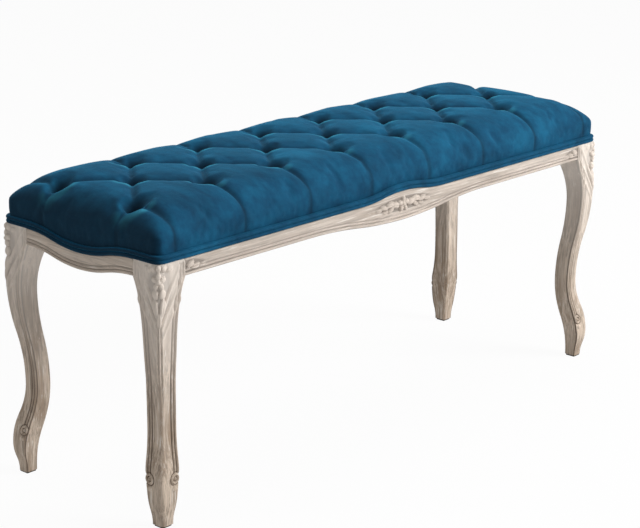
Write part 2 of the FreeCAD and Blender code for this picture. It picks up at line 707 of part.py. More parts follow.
def cushion_section(x):
    """Across the cushion at a place along it: a puff in the middle and one at each side."""
    from_end = cushion_half - abs(x)
    from_outer = min(abs(x - place) for place in row_places)
    from_middle = min(abs(x - place) for place in middle_places)
    from_tuft = min(from_outer, from_middle) - throat
    end_share = crown_share(from_end)
    level = side_top + size("crown_rise") * end_share
    fold = size("fold_depth") * end_share
    fold_reach = size("fold_reach")

    # the creases run from tuft to tuft, and straight to the ends beyond the last ones
    half_floor = LEAST_CREASE
    if from_outer < throat + ROUNDING:
        half_floor = throat
    elif from_middle < throat + ROUNDING:
        half_floor = throat / 3
    crease_y = row_spacing
    if abs(x) < last_column:
        share = (from_middle - throat) / (column_step - 2 * throat)
        middle_y = throat * 2 / 3
        crease_y = middle_y + (crease_y - middle_y) * min(max(share, 0.0), 1.0)
    crease_z = level - fold - roll_drop(from_tuft, fold_reach, level - fold - tuft_floor)

    # the middle puff, which closes at each middle tuft
    ridge_z = level - roll_drop(from_middle - throat, fold_reach, level - tuft_floor)
    ridge_z = max(ridge_z, crease_z + LEAST_RIDGE)
    width = crease_y - half_floor
    reach = min(fold_reach, RIDGE_SHARE * width)
    ridge_rise = size("puff_rise") * end_share * width / row_spacing

    # the outer puff, parted by a pleat at each outer tuft
    pleat_depth = roll_drop(from_outer, fold_reach, fold)
    corner = size("cushion_corner")
    round_in = corner - math.sqrt(corner ** 2 - max(corner - from_end, 0.0) ** 2)
    hollow_in = size("long_draw_in") * (1 - (x / cushion_half) ** 2)
    side_y = -half_depth + side_margin + round_in + hollow_in + pleat_depth * size("pleat_share")

    def over(inset):
        """A point on the outer puff, at a distance in from the side."""
        drop = pleat_depth * crown_share(inset)
        return side_y + inset, side_top + size("crown_rise") * end_share * crown_share(inset) - drop

    def rolled(crease, top):
        """The crease, the middle of the roll and its top."""
        run, rise = top[0] - crease[0], top[1] - crease[1]
        return [crease, (crease[0] + run * ROLL_MIDDLE[0], crease[1] + rise * ROLL_MIDDLE[1]), top]

    outer_crease = -crease_y - half_floor
    outer_top = over(outer_crease - fold_reach - side_y)
    half = [(-half_depth + cover_margin + round_in, welt_top), (side_y, side_top)]
    half += [over(share * size("crown_reach")) for share in SHOULDER_STEPS]
    half += rolled((outer_crease, crease_z), outer_top)[::-1]
    half += rolled((-width, crease_z), (-width + reach, ridge_z))
    points = half + [(0.0, ridge_z + ridge_rise)] + [(-y, z) for y, z in half[::-1]]
    return [Vector(x, y, z) for y, z in points]


def cushion_body():
    """The tufted cushion, lofted from end to end through its sections."""
    reach = throat + size("fold_reach")
    steps = [throat, throat + size("fold_reach") / 3, reach]
    beyond = cushion_half - last_column
    places = [last_column + beyond * share for share in END_STEPS]
    for i in range(2 * len(row_places) - 1):
        column = (i - len(row_places) + 1) * column_step
        places += [column - step for step in steps] + [column + step for step in steps]
        if i % 2 == 0:
            places.append(column)
    span = last_column + throat
    inner = [place for place in places[len(END_STEPS):] if abs(place) <= span]
    outer = places[:len(END_STEPS)]
    stations = sorted(set(round(place, 4) for place in inner + outer + [-place for place in outer]))
    return faceted([cushion_section(x) for x in stations])


def cover():
    """The cover, hollow under its wadding for foam, board and frame."""
    lowest = show_top - size("end_dip")
    band = prism(outline(cover_margin, size("cushion_corner"), lowest), welt_top - lowest)
    hollow = [prism(outline(rebate, core_corner, lowest), board_top - lowest), foam_pad.Shape]
    hollow += twines(size("hole_clearance"))
    sides = (Vector(0, -1, 0), Vector(1, 0, 0), Vector(0, 1, 0), Vector(-1, 0, 0))
    post_foot = Vector(-half_length, -half_depth, lowest)
    posts = at_corners(box(post_foot, post_foot + Vector(post, post, welt_foot - lowest)))
    band = band.cut([wood_below(side) for side in sides] + posts)
    return cushion_body().fuse(band).cut(hollow + staple_slots)


def wood_below(side):
    """All that lies under the visible wood's top edge on one side, and the clearance on it."""
    level = show_top + size("soft_clearance")
    floor_level = show_top - 2 * size("end_dip")
    inward = -side
    if abs(side.y) > 0.5:
        ahead = Vector(1, 0, 0)
        span, out = half_length - post, half_depth
        reach, rise = size("crest_reach"), size("crest_rise")
    else:
        ahead = Vector(0, 1, 0)
        span, out = half_depth - post, half_length
        reach, rise = span, -size("end_dip")
    face = side * (out + CUT_MARGIN)
    start = face - ahead * span + UP * level
    end = face + ahead * span + UP * level
    outer_start = start - ahead * (post + CUT_MARGIN)
    outer_end = end + ahead * (post + CUT_MARGIN)
    down = UP * (floor_level - level)
    edges = [
        Part.makeLine(outer_start, start),
        Part.makeLine(end, outer_end),
        Part.makeLine(outer_end, outer_end + down),
        Part.makeLine(outer_end + down, outer_start + down),
        Part.makeLine(outer_start + down, outer_start),
    ]
    wire = Part.Wire(Part.__sortEdges__(shaped_line(start, end, rise, reach) + edges))
    return Part.Face(wire).extrude(inward * (rebate + CUT_MARGIN))


form("tufted_cover", cover())

# Covered buttons at the bottoms of the tufts, their twines, and the staples under the board

button_radius = size("button_width") / 2
button_rings = ((0.0, button_radius), (size("button_height"), button_radius))
buttons = [turned(tuft + UP * button_level, UP, button_rings) for tuft in tufts]
form("tuft_buttons", Part.makeCompound(buttons))
form("tuft_twines", Part.makeCompound(twines(0.0)))
form("twine_staples", Part.makeCompound([staple(*where) for where in twine_staples]))

# Staples that hold the cover

form("cover_staples", Part.makeCompound([staple(*where) for where in cover_staples]))

# Double welt: two cords side by side on a flat tape, bent round the foot of the cushion

WELT_STEPS = 6
WELT_CORNER_STEPS = 3
WELT_SECTION = ((0.0, -1.0), (0.5, -0.75), (0.5, -0.25), (0.0, 0.0), (0.5, 0.25), (0.5, 0.75),
                (0.0, 1.0), (-0.5, 1.0), (-0.5, -1.0))


def welt():
    """One closed band that follows the crest, the dips and the corners."""
    cord = size("welt_cord")
    centre = cover_margin - size("welt_gap") - cord / 2
    corner = size("cushion_corner") + cover_margin - centre
    reach_x = half_length - centre - corner
    reach_y = half_depth - centre - corner
    sections = []

    def add_section(x, y, out, rise):
        """The band's section at a place, facing outward."""
        middle = Vector(x, y, welt_foot + cord + rise)
        sections.append([middle + (out * aside + UP * upward) * cord for aside, upward in WELT_SECTION])

    def turn(quarter):
        """The sections round one corner, from one side's direction to the next one's."""
        for i in range(WELT_CORNER_STEPS + 1):
            angle = math.pi / 2 * (quarter + i / WELT_CORNER_STEPS)
            out = Vector(math.cos(angle), math.sin(angle), 0)
            middle_x = math.copysign(reach_x, 1 if quarter in (0, 3) else -1)
            middle_y = math.copysign(reach_y, 1 if quarter in (0, 1) else -1)
            add_section(middle_x + out.x * corner, middle_y + out.y * corner, out, 0.0)

    crest, crest_rise = size("crest_reach"), size("crest_rise")
    dip, dip_rise = half_depth - post, -size("end_dip")
    for quarter in range(4):
        turn(quarter)
        side = 1 if quarter in (0, 3) else -1
        along_x = quarter % 2 == 0
        run, rise = (crest, crest_rise) if along_x else (dip, dip_rise)
        for i in range(-2 * WELT_STEPS, 2 * WELT_STEPS + 1):
            along = run * i / (2 * WELT_STEPS)
            level = ogee_height(along, run, rise)
            if along_x:
                add_section(-side * along, side * (reach_y + corner), Vector(0, side, 0), level)
            else:
                add_section(side * (reach_x + corner), side * along, Vector(side, 0, 0), level)
    return faceted(sections, closed=True)


form("double_welt", welt())

# Dust cover under the blocks, cleats and braces, notched round the posts


def dust_cover():
    """A thin black cloth, cut to fit inside the rails and round the posts."""
    edge = size("rail_thickness") + size("soft_clearance")
    notch = post + size("soft_clearance")
    reach = Vector(half_length - edge, half_depth - edge, 0)
    cloth = box(UP * dust_level - reach, UP * block_bottom + reach)
    corners = []
    for side_x in (-1, 1):
        for side_y in (-1, 1):
            outer = Vector(side_x * half_length, side_y * half_depth, dust_level)
            inner = Vector(side_x * (half_length - notch), side_y * (half_depth - notch), block_bottom)
            corners.append(box(Vector(min(outer.x, inner.x), min(outer.y, inner.y), dust_level),
                               Vector(max(outer.x, inner.x), max(outer.y, inner.y), block_bottom)))
    return cloth.cut(corners + dust_slots)


form("dust_cover", dust_cover())
form("dust_cover_staples", Part.makeCompound([staple(*where) for where in dust_staples]))

# Check every object before anything is written

doc.recompute()
for obj in doc.Objects:
    failed = [state for state in obj.State if state in ("Invalid", "Error")]
    if failed:
        raise RuntimeError(f"{obj.Name} failed: {failed}")
for obj in parts:
    if obj.Shape.isNull() or not obj.Shape.isValid() or obj.Shape.Volume <= 0:
        raise RuntimeError(f"{obj.Label} has no valid shape")

os.makedirs("parts", exist_ok=True)
for obj in parts:
    obj.Shape.exportStep(f"parts/{obj.Label}.step")
    print(f"{obj.Label}: {len(obj.Shape.Solids)} solids, {len(obj.Shape.Faces)} faces")
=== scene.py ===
import bpy
import math
import numpy as np
from mathutils import Matrix, Vector, noise


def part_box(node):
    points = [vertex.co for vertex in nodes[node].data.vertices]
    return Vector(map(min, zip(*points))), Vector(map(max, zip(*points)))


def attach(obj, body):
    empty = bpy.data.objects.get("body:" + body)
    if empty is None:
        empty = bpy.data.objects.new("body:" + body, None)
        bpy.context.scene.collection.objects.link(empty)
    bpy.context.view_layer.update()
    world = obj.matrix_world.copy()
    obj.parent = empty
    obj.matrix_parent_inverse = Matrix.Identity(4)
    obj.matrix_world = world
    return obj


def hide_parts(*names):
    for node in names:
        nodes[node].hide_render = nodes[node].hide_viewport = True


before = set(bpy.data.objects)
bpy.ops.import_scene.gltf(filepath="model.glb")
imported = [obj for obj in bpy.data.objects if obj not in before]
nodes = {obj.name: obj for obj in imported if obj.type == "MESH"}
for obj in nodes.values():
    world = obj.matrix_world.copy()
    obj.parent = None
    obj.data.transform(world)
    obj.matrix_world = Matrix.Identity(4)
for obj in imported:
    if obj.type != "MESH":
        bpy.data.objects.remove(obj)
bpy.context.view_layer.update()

# Legs: four cabriole legs of pale limed wood, sawn square to one template and carved by hand.
# A bead runs down both outer faces into a small scroll at the foot, and a flower with hanging
# leaves is carved over the corner of each knee.

HALF_LENGTH, HALF_DEPTH = 0.560, 0.176
WOOD_TOP, RAIL_BOTTOM, CORE_TOP = 0.422, 0.395, 0.430
POST, REBATE = 0.055, 0.006


def sway(level, low, low_inset, high, high_inset):
    """Inset at a level between two heights: two tangent arcs, upright at both ends."""
    half, run = (high - low) / 2, (high_inset - low_inset) / 2
    radius = (half ** 2 + run ** 2) / (2 * abs(run))
    if level - low < half:
        return low_inset + math.copysign(radius - math.sqrt(radius ** 2 - (level - low) ** 2), run)
    return high_inset - math.copysign(radius - math.sqrt(radius ** 2 - (high - level) ** 2), run)


def along_template(level, stations):
    """Inset of the leg's template at a level."""
    if level >= stations[-1][0]:
        return stations[-1][1]
    for (low, low_inset), (high, high_inset) in zip(stations, stations[1:]):
        if level <= high:
            return sway(level, low, low_inset, high, high_inset)


# levels and insets from the post's outer face where the template's arcs meet
OUTER_STATIONS = ((0.003, 0.005), (0.050, -0.0015), (0.155, 0.0155), (0.335, -0.0015), (0.395, 0.0))
INNER_STATIONS = ((0.003, 0.028), (0.155, 0.047), (0.308, 0.036))


def leg_outer(level):
    return along_template(level, OUTER_STATIONS)


def leg_inner(level):
    """Inset of the inner face: along the template, then one arc that widens into the post."""
    start, inset = INNER_STATIONS[-1]
    if level > start:
        run, rise = POST - inset, RAIL_BOTTOM - start
        radius = (run ** 2 + rise ** 2) / (2 * run)
        up = min(level, RAIL_BOTTOM) - start
        return inset + radius - math.sqrt(radius ** 2 - up ** 2)
    return along_template(level, INNER_STATIONS)


def boss(u, v, long, short, turn, height):
    """A rounded carved swell: a leaf when long, with a fine vein cut down its middle."""
    along = u * math.cos(turn) + v * math.sin(turn)
    across = v * math.cos(turn) - u * math.sin(turn)
    share = (along / long) ** 2 + (across / short) ** 2
    if share >= 1:
        return 0.0
    vein = 0.35 * height * math.exp(-(across / (0.16 * short)) ** 2) if long > 1.5 * short else 0.0
    return height * math.sqrt(1 - share) - vein


def flower(u, v, radius, height):
    """Five carved petals round a domed middle."""
    relief = boss(u, v, 0.26 * radius, 0.26 * radius, 0, height)
    for petal in range(5):
        turn = math.pi / 2 + petal * 2 * math.pi / 5
        du, dv = u - 0.6 * radius * math.cos(turn), v - 0.6 * radius * math.sin(turn)
        relief = max(relief, boss(du, dv, 0.42 * radius, 0.32 * radius, turn, 0.8 * height))
    return relief


def ridge(distance, width):
    return math.exp(-(distance / width) ** 2)


def moulding(distance, beads):
    """Relief of beads and grooves, each a height, its distance from the edge and its width."""
    return sum(height * ridge(distance - place, width) for height, place, width in beads)


def faded(distance, run):
    """0 before a place and 1 past the run that follows it."""
    return min(max(distance / run, 0.0), 1.0)


# distance round the corner, level, half length, half width, turn and height of each pair of leaves
KNEE_LEAVES = ((0.0110, 0.4150, 0.0052, 0.0052, 0.0, 0.0028),
               (0.0000, 0.4160, 0.0050, 0.0050, 0.0, 0.0030),
               (0.0230, 0.4130, 0.0075, 0.0045, 0.3, 0.0022),
               (0.0072, 0.3765, 0.0075, 0.0068, 1.2, 0.0034),
               (0.0070, 0.3560, 0.0140, 0.0058, 1.40, 0.0032),
               (0.0000, 0.3370, 0.0130, 0.0048, 1.57, 0.0028))
# how far out each rib starts, and the levels where it starts and ends
KNEE_RIBS = ((0.046, 0.4180, 0.3350), (0.052, 0.3980, 0.3180), (0.050, 0.3720, 0.3000))
KNEE_FLOWER_LEVEL, KNEE_GROUND_LEVEL, RIB_FOOT = 0.3960, 0.376, 0.003
STEM_FOOT, STEM_TOP, STEM_GAP = 0.190, 0.335, 0.0055


def knee_carving(side, level):
    """Relief over the corner of the knee, side being the distance round the corner."""
    relief = flower(side, level - KNEE_FLOWER_LEVEL, 0.0145, 0.0042)
    for reach, centre, long, short, turn, height in KNEE_LEAVES:
        for hand in (-1, 1):
            leaf = boss(side - hand * reach, level - centre, long, short, hand * turn, height)
            relief = max(relief, leaf)
    for start, high, low in KNEE_RIBS:
        share = faded(level - low, high - low)
        ends = min(8 * share, 8 * (1 - share), 1.0)
        away = abs(side) - RIB_FOOT - (start - RIB_FOOT) * share ** 1.2
        relief = max(relief, 0.0020 * ends * ridge(0.8 * away, 0.0022))
    reach = math.hypot(side / 0.030, (level - KNEE_GROUND_LEVEL) / 0.056)
    ground = 0.0014 * faded(1.0 - reach, 0.30)
    stem = 0.0014 * faded(level - STEM_FOOT, 0.06) * faded(STEM_TOP - level, 0.01)
    for lane in (0.0, STEM_GAP):
        relief = max(relief, stem * ridge(abs(side) - lane, 0.0016))
    stem_ground = 0.7 * stem * ridge(abs(side) - 0.0028, 0.0013)
    return relief if relief > 0.0004 else relief - max(ground, stem_ground)


LEG_BEADS = ((0.0014, 0.0022, 0.0016), (-0.0017, 0.0052, 0.0011),
             (0.0010, 0.0080, 0.0014), (-0.0015, 0.0110, 0.0011))
SCROLL = ((0.0020, 0.0062, 0.0015), (0.0022, 0.0, 0.0022),
          (-0.0018, 0.0036, 0.0010), (-0.0014, 0.0092, 0.0012))
SCROLL_IN, SCROLL_LEVEL, BUD_LEVEL = 0.0085, 0.0780, 0.0635
BEAD_FOOT, BEAD_TOP = 0.083, 0.4205


def leg_relief(side, from_edge, level):
    """All carving on the leg's outer faces."""
    run = faded(level - BEAD_FOOT, 0.008) * faded(BEAD_TOP - level, 0.004)
    relief = run * moulding(from_edge, LEG_BEADS) + knee_carving(side, level)
    relief += moulding(math.hypot(from_edge - SCROLL_IN, level - SCROLL_LEVEL), SCROLL)
    return relief + boss(from_edge - 0.0080, level - BUD_LEVEL, 0.0060, 0.0046, 0.0, 0.0024)


LEG_CORNER, LEG_EDGE, LEG_STEPS, BACK_STEPS = 0.007, 0.0018, 76, 9


def leg_ring(level, inset=0.0, carved=True):
    """Points round the front left leg at a level, and how deep or proud each one is carved."""
    outer, inner = leg_outer(level) + inset, leg_inner(level)
    width = inner - outer
    points, reliefs = [], []
    for i in range(LEG_STEPS + 1):
        share = 2 * i / LEG_STEPS - 1
        side = share * width
        if abs(side) < LEG_CORNER:
            turn = (side / LEG_CORNER + 1) * math.pi / 4
            normal = Vector((-math.cos(turn), -math.sin(turn)))
            place = Vector((outer + LEG_CORNER, outer + LEG_CORNER)) + normal * LEG_CORNER
        elif side < 0:
            normal, place = Vector((-1, 0)), Vector((outer, outer - side))
        else:
            normal, place = Vector((0, -1)), Vector((outer + side, outer))
        from_edge = width - abs(side)
        relief = leg_relief(side, from_edge, level) if carved else 0.0
        if from_edge < LEG_EDGE:
            relief -= LEG_EDGE - math.sqrt(LEG_EDGE ** 2 - (LEG_EDGE - from_edge) ** 2)
        place += normal * relief
        points.append(place)
        reliefs.append(relief)
    for start, end in (((inner, outer), (inner, inner)), ((inner, inner), (outer, inner))):
        for i in range(1, BACK_STEPS):
            points.append(Vector(start).lerp(Vector(end), i / BACK_STEPS))
            reliefs.append(0.0)
    return [(x - HALF_LENGTH, y - HALF_DEPTH, level) for x, y in points], reliefs


def wrapped(name, rings, reliefs=None, loop=False):
    """A flat grid wrapped into a closed skin, one row of it to each ring of points."""
    bpy.ops.object.select_all(action="DESELECT")
    bpy.ops.mesh.primitive_grid_add(x_subdivisions=len(rings[0]),
                                    y_subdivisions=len(rings) - 1 + loop, size=1, location=(0, 0, 0))
    piece = bpy.context.object
    piece.name = piece.data.name = name
    rows = rings + rings[:1] if loop else rings
    piece.data.vertices.foreach_set("co", [c for row in rows for p in row + row[:1] for c in p])
    if reliefs:
        carved = piece.data.attributes.new("carved", "FLOAT", "POINT")
        carved.data.foreach_set("value", [r for row in reliefs for r in row + row[:1]])
    bpy.ops.object.mode_set(mode="EDIT")
    bpy.ops.mesh.select_all(action="SELECT")
    bpy.ops.mesh.remove_doubles(threshold=0.00001)
    bpy.ops.mesh.fill_holes(sides=0)
    bpy.ops.mesh.select_all(action="SELECT")
    bpy.ops.mesh.normals_make_consistent(inside=False)
    bpy.ops.object.mode_set(mode="OBJECT")
    bpy.ops.object.shade_smooth_by_angle(angle=math.radians(40))
    return piece


def opposite(piece, name, scale):
    """The same piece on the other side of the bench, with its own mesh."""
    copy = piece.copy()
    copy.data = piece.data.copy()
    copy.name = copy.data.name = name
    bpy.context.scene.collection.objects.link(copy)
    copy.data.transform(Matrix.Diagonal((*scale, 1)))
    copy.data.flip_normals()
    return copy


def link(tree, start, output, end, entry):
    tree.links.new(start.outputs[output], end.inputs[entry])


def new_material(name):
    """A node material with its shader, its own coordinates and an output."""
    material = bpy.data.materials.new(name)
    material.use_nodes = True
    tree = material.node_tree
    shader = tree.nodes["Principled BSDF"]
    place = tree.nodes.new("ShaderNodeTexCoord")
    return material, tree, shader, place


def noise_node(tree, place, scale, size, detail=4.0, rough=0.55):
    """A noise pattern stretched along the directions of its scale."""
    mapping = tree.nodes.new("ShaderNodeMapping")
    mapping.inputs["Scale"].default_value = scale
    pattern = tree.nodes.new("ShaderNodeTexNoise")
    pattern.inputs["Scale"].default_value = size
    pattern.inputs["Detail"].default_value = detail
    pattern.inputs["Roughness"].default_value = rough
    link(tree, place, "Object", mapping, "Vector")
    link(tree, mapping, "Vector", pattern, "Vector")
    return pattern


def ramp(tree, source, output, stops):
    """A colour ramp over a value."""
    colours = tree.nodes.new("ShaderNodeValToRGB")
    elements = colours.color_ramp.elements
    for i, (position, colour) in enumerate(stops):
        element = elements[i] if i < 2 else elements.new(position)
        element.position = position
        element.color = (*colour, 1)
    link(tree, source, output, colours, "Fac")
    return colours


def mixed(tree, share, first, second):
    """Two colours mixed; each is a node's (node, output) or a plain colour, as is the share."""
    mix = tree.nodes.new("ShaderNodeMix")
    mix.data_type = "RGBA"
    mix.blend_type = "MIX"
    mix.clamp_result = True
    for entry, value in ((0, share), (6, first), (7, second)):
        if isinstance(value, tuple) and isinstance(value[0], bpy.types.Node):
            tree.links.new(value[0].outputs[value[1]], mix.inputs[entry])
        elif entry == 0:
            mix.inputs[0].default_value = value
        else:
            mix.inputs[entry].default_value = (*value, 1)
    return mix


def weathered_wood(name, grain, base, brown, wash):
    """Limed wood with brown grain, white lines and painted shade in the carved hollows, and more of the
    wash higher up.
    """
    material, tree, shader, place = new_material(name)
    long = tuple(0.045 if axis == grain else 1.0 for axis in range(3))
    fibre = noise_node(tree, place, long, 300.0, 6.0, 0.70)
    figure = noise_node(tree, place, long, 80.0, 5.0, 0.65)
    patch = noise_node(tree, place, (1.0, 1.0, 1.0), 9.0, 4.0, 0.6)
    short = tuple(0.30 if axis == grain else 1.0 for axis in range(3))
    fleck = noise_node(tree, place, short, 120.0, 3.0, 0.5)
    dark = tuple(c * 0.36 for c in base)
    pale = tuple(min(c * 1.36, 0.9) for c in base)
    ground = ramp(tree, figure, "Fac", ((0.38, brown), (0.50, base), (0.62, pale)))
    veins = ramp(tree, fibre, "Fac", ((0.40, (0.0, 0.0, 0.0)), (0.50, (1.0, 1.0, 1.0))))
    grained = mixed(tree, (veins, "Color"), dark, (ground, "Color"))
    softened = mixed(tree, 0.12, (grained, 2), (ground, "Color"))
    clouds = ramp(tree, patch, "Fac", ((0.38, brown), (0.62, base)))
    clouded = mixed(tree, 0.38, (softened, 2), (clouds, "Color"))
    spots = ramp(tree, fleck, "Fac", ((0.23, (1.0, 1.0, 1.0)), (0.29, (0.0, 0.0, 0.0))))
    spotted = mixed(tree, (spots, "Color"), (clouded, 2), tuple(c * 0.45 for c in base))
    lines = ramp(tree, fibre, "Fac", ((0.57, (0.0, 0.0, 0.0)), (0.64, (0.75, 0.75, 0.75))))
    lined = mixed(tree, (lines, "Color"), (spotted, 2), (0.74, 0.70, 0.65))
    carved = tree.nodes.new("ShaderNodeAttribute")
    carved.attribute_name = "carved"
    # painted shade: the carved hollows are darkened towards a deep brown
    hollow = tree.nodes.new("ShaderNodeMapRange")
    hollow.inputs["From Min"].default_value = -0.0002
    hollow.inputs["From Max"].default_value = -0.0011
    link(tree, carved, "Fac", hollow, "Value")
    hollow_shaded = mixed(tree, (hollow, "Result"), (lined, 2), tuple(c * 0.40 for c in brown))
    worn = tree.nodes.new("ShaderNodeMapRange")
    worn.inputs["From Min"].default_value = 0.0006
    worn.inputs["From Max"].default_value = 0.0030
    worn.inputs["To Max"].default_value = 0.55
    link(tree, carved, "Fac", worn, "Value")
    edges = mixed(tree, (worn, "Result"), (hollow_shaded, 2), pale)
    split = tree.nodes.new("ShaderNodeSeparateXYZ")
    link(tree, place, "Object", split, "Vector")
    high = tree.nodes.new("ShaderNodeMapRange")
    high.inputs["From Min"].default_value = 0.16
    high.inputs["From Max"].default_value = 0.36
    high.inputs["To Max"].default_value = wash
    link(tree, split, "Z", high, "Value")
    washed = mixed(tree, (high, "Result"), (edges, 2), (0.80, 0.735, 0.675))
    tree.links.new(washed.outputs[2], shader.inputs["Base Color"])
    shader.inputs["Roughness"].default_value = 0.72
    bump = tree.nodes.new("ShaderNodeBump")
    bump.inputs["Strength"].default_value = 0.35
    bump.inputs["Distance"].default_value = 0.0006
    link(tree, fibre, "Fac", bump, "Height")
    link(tree, bump, "Normal", shader, "Normal")
    return material


leg_wood = weathered_wood("limed_wood_upright", 2, (0.53, 0.435, 0.35), (0.29, 0.205, 0.140), 0.62)

# the rings lie closer together where the foot and the knee are carved
levels = [0.003 + 0.0045 * i for i in range(11)] + [0.0510 + 0.0014 * i for i in range(27)]
levels += [0.0897 + 0.0050 * i for i in range(25)] + [0.2147 + 0.0032 * i for i in range(27)]
levels += [0.3011 + 0.0016 * i for i in range(75)] + [0.4215, WOOD_TOP]
rows = [leg_ring(level) for level in levels]
rows += [leg_ring(WOOD_TOP, REBATE, False), leg_ring(CORE_TOP, REBATE, False)]
front_left = wrapped("carved_leg_front_left", [row[0] for row in rows], [row[1] for row in rows])
legs = {"leg_front_left": front_left,
        "leg_rear_left": opposite(front_left, "carved_leg_rear_left", (1, -1, 1)),
        "leg_front_right": opposite(front_left, "carved_leg_front_right", (-1, 1, 1))}
legs["leg_rear_right"] = opposite(legs["leg_rear_left"], "carved_leg_rear_right", (-1, 1, 1))
for node, piece in legs.items():
    piece.data.materials.clear()
    piece.data.materials.append(leg_wood)
    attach(piece, "root")
    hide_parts(node)

# Glides: a square of dark pressed felt, cut a little smaller than the foot. One is glued under
# each leg and keeps the end grain off the floor.

glide_felt, tree, shader, place = new_material("dark_felt")
wool = noise_node(tree, place, (1.0, 1.0, 1.0), 1800.0, 3.0, 0.7)
fibres = ramp(tree, wool, "Fac", ((0.3, (0.020, 0.017, 0.014)), (0.7, (0.055, 0.048, 0.040))))
tree.links.new(fibres.outputs["Color"], shader.inputs["Base Color"])
shader.inputs["Roughness"].default_value = 0.95


def finish_node(node, material):
    """A CAD piece that stays as it is gets its material."""
    piece = nodes[node]
    piece.data.materials.clear()
    piece.data.materials.append(material)


for node in nodes:
    if node.startswith("glide_"):
        finish_node(node, glide_felt)

# Rails: four shaped boards tenoned into the posts. The long ones rise to a carved crest in the
# middle and drop below it, the end ones dip in a lazy curve, and two beads follow the lower edge.

FRONT_CREST, FRONT_APRON = (0.104, 0.009), (0.225, -0.014)
END_DIP = (HALF_DEPTH - POST, -0.015)
RAIL_THICKNESS = 0.028


def swell(distance, reach, rise):
    """Height of a crest or dip at a distance from its middle, two tangent arcs on each side."""
    distance = min(abs(distance), reach)
    half = reach / 2
    radius = (half ** 2 + (rise / 2) ** 2) / abs(rise)
    if distance > half:
        return math.copysign(radius - math.sqrt(radius ** 2 - (reach - distance) ** 2), rise)
    return rise - math.copysign(radius - math.sqrt(radius ** 2 - distance ** 2), rise)


# distance from the middle, rise, half length, half width, turn and height of each pair of leaves
CREST_LEAVES = ((0.020, 0.0005, 0.0100, 0.0055, 0.25, 0.0036),
                (0.034, 0.0030, 0.0105, 0.0048, -0.15, 0.0033),
                (0.032, -0.0060, 0.0085, 0.0038, -0.45, 0.0027),
                (0.049, 0.0005, 0.0105, 0.0042, 0.20, 0.0027),
                (0.047, -0.0075, 0.0085, 0.0030, -0.25, 0.00195),
                (0.063, -0.0020, 0.0085, 0.0034, -0.05, 0.0021))
CREST_LEVEL, LEAF_GROUND_LEVEL, FLAT = 0.409, 0.408, 0.0003


def crest_carving(x, level):
    """The flower in the middle of a long rail and the leaves that trail from it."""
    relief = flower(x, level - 0.4085, 0.0140, 0.0042)
    for reach, up, long, short, turn, height in CREST_LEAVES:
        for hand in (-1, 1):
            leaf = boss(x - hand * reach, level - CREST_LEVEL - up, long, short, hand * turn, height)
            relief = max(relief, leaf)
    spread = math.hypot(x / 0.078, (level - CREST_LEVEL) / 0.0135)
    return relief if relief > FLAT else -0.0013 * faded(1.0 - spread, 0.25)


def end_leaf(distance, level):
    """The small leaf carved on a rail beside its post."""
    relief = boss(distance - 0.010, level - 0.4105, 0.0090, 0.0050, 0.5, 0.0028)
    relief = max(relief, boss(distance - 0.022, level - 0.4065, 0.0090, 0.0040, 0.15, 0.0023))
    relief = max(relief, boss(distance - 0.036, level - 0.4060, 0.0080, 0.0030, 0.0, 0.0016))
    spread = math.hypot(distance / 0.046, (level - LEAF_GROUND_LEVEL) / 0.0115)
    return relief if relief > FLAT else -0.0011 * faded(1.0 - spread, 0.25)


RAIL_BEADS = ((0.0013, 0.0024, 0.0017), (-0.0014, 0.0054, 0.0009),
              (0.0008, 0.0078, 0.0014), (-0.0012, 0.0106, 0.0009))
RAIL_STEPS, RAIL_EDGE, CREST_SPAN = 30, 0.0012, 0.11


def rail_ring(along, half, top_shape, bottom_shape, crested):
    """Points round a rail at a place along it: (in from the face, level), and their relief."""
    low, high = RAIL_BOTTOM + swell(along, *bottom_shape), WOOD_TOP + swell(along, *top_shape)
    points, reliefs = [], []
    for i in range(RAIL_STEPS + 1):
        level = low + (high - low) * i / RAIL_STEPS
        relief = moulding(level - low, RAIL_BEADS)
        if crested and abs(along) < CREST_SPAN:
            relief += crest_carving(along, level)
        elif crested:
            relief += end_leaf(half - abs(along), level)
        edge = min(level - low, high - level)
        if edge < RAIL_EDGE:
            relief -= RAIL_EDGE - math.sqrt(RAIL_EDGE ** 2 - (RAIL_EDGE - edge) ** 2)
        points.append((-relief, level))
        reliefs.append(relief)
    points += [(REBATE, high), (REBATE, CORE_TOP), (RAIL_THICKNESS, CORE_TOP), (RAIL_THICKNESS, low)]
    return points, reliefs + [0.0] * 4


def rail_stations(half, crested):
    """Places along a rail, closer together at the crest and beside the posts."""
    if not crested:
        return [half * i / 40 for i in range(-40, 41)]
    side = [0.0017 * i for i in range(62)] + [0.1054 + 0.0080 * i for i in range(1, 43)]
    side += [half - 0.045 + 0.0018 * i for i in range(25)] + [half]
    side = [x for x in side if x <= half]
    return [-x for x in side[:0:-1]] + side


rail_wood = weathered_wood("limed_wood_lengthwise", 0, (0.49, 0.415, 0.355), (0.31, 0.24, 0.185), 0.22)
end_wood = weathered_wood("limed_wood_across", 1, (0.52, 0.43, 0.35), (0.33, 0.245, 0.175), 0.22)
long_half, end_half = HALF_LENGTH - POST, HALF_DEPTH - POST
places = rail_stations(long_half, True)
rows = [rail_ring(x, long_half, FRONT_CREST, FRONT_APRON, True) for x in places]
rings = [[(x, inward - HALF_DEPTH, z) for inward, z in row[0]] for x, row in zip(places, rows)]
front = wrapped("carved_front_rail", rings, [row[1] for row in rows])
places = rail_stations(end_half, False)
rows = [rail_ring(y, end_half, END_DIP, END_DIP, False) for y in places]
rings = [[(inward - HALF_LENGTH, y, z) for inward, z in row[0]] for y, row in zip(places, rows)]
left = wrapped("moulded_left_end_rail", rings, [row[1] for row in rows])
rails = (("front_rail", front, rail_wood),
         ("rear_rail", opposite(front, "carved_rear_rail", (1, -1, 1)), rail_wood),
         ("left_end_rail", left, end_wood),
         ("right_end_rail", opposite(left, "moulded_right_end_rail", (-1, 1, 1)), end_wood))
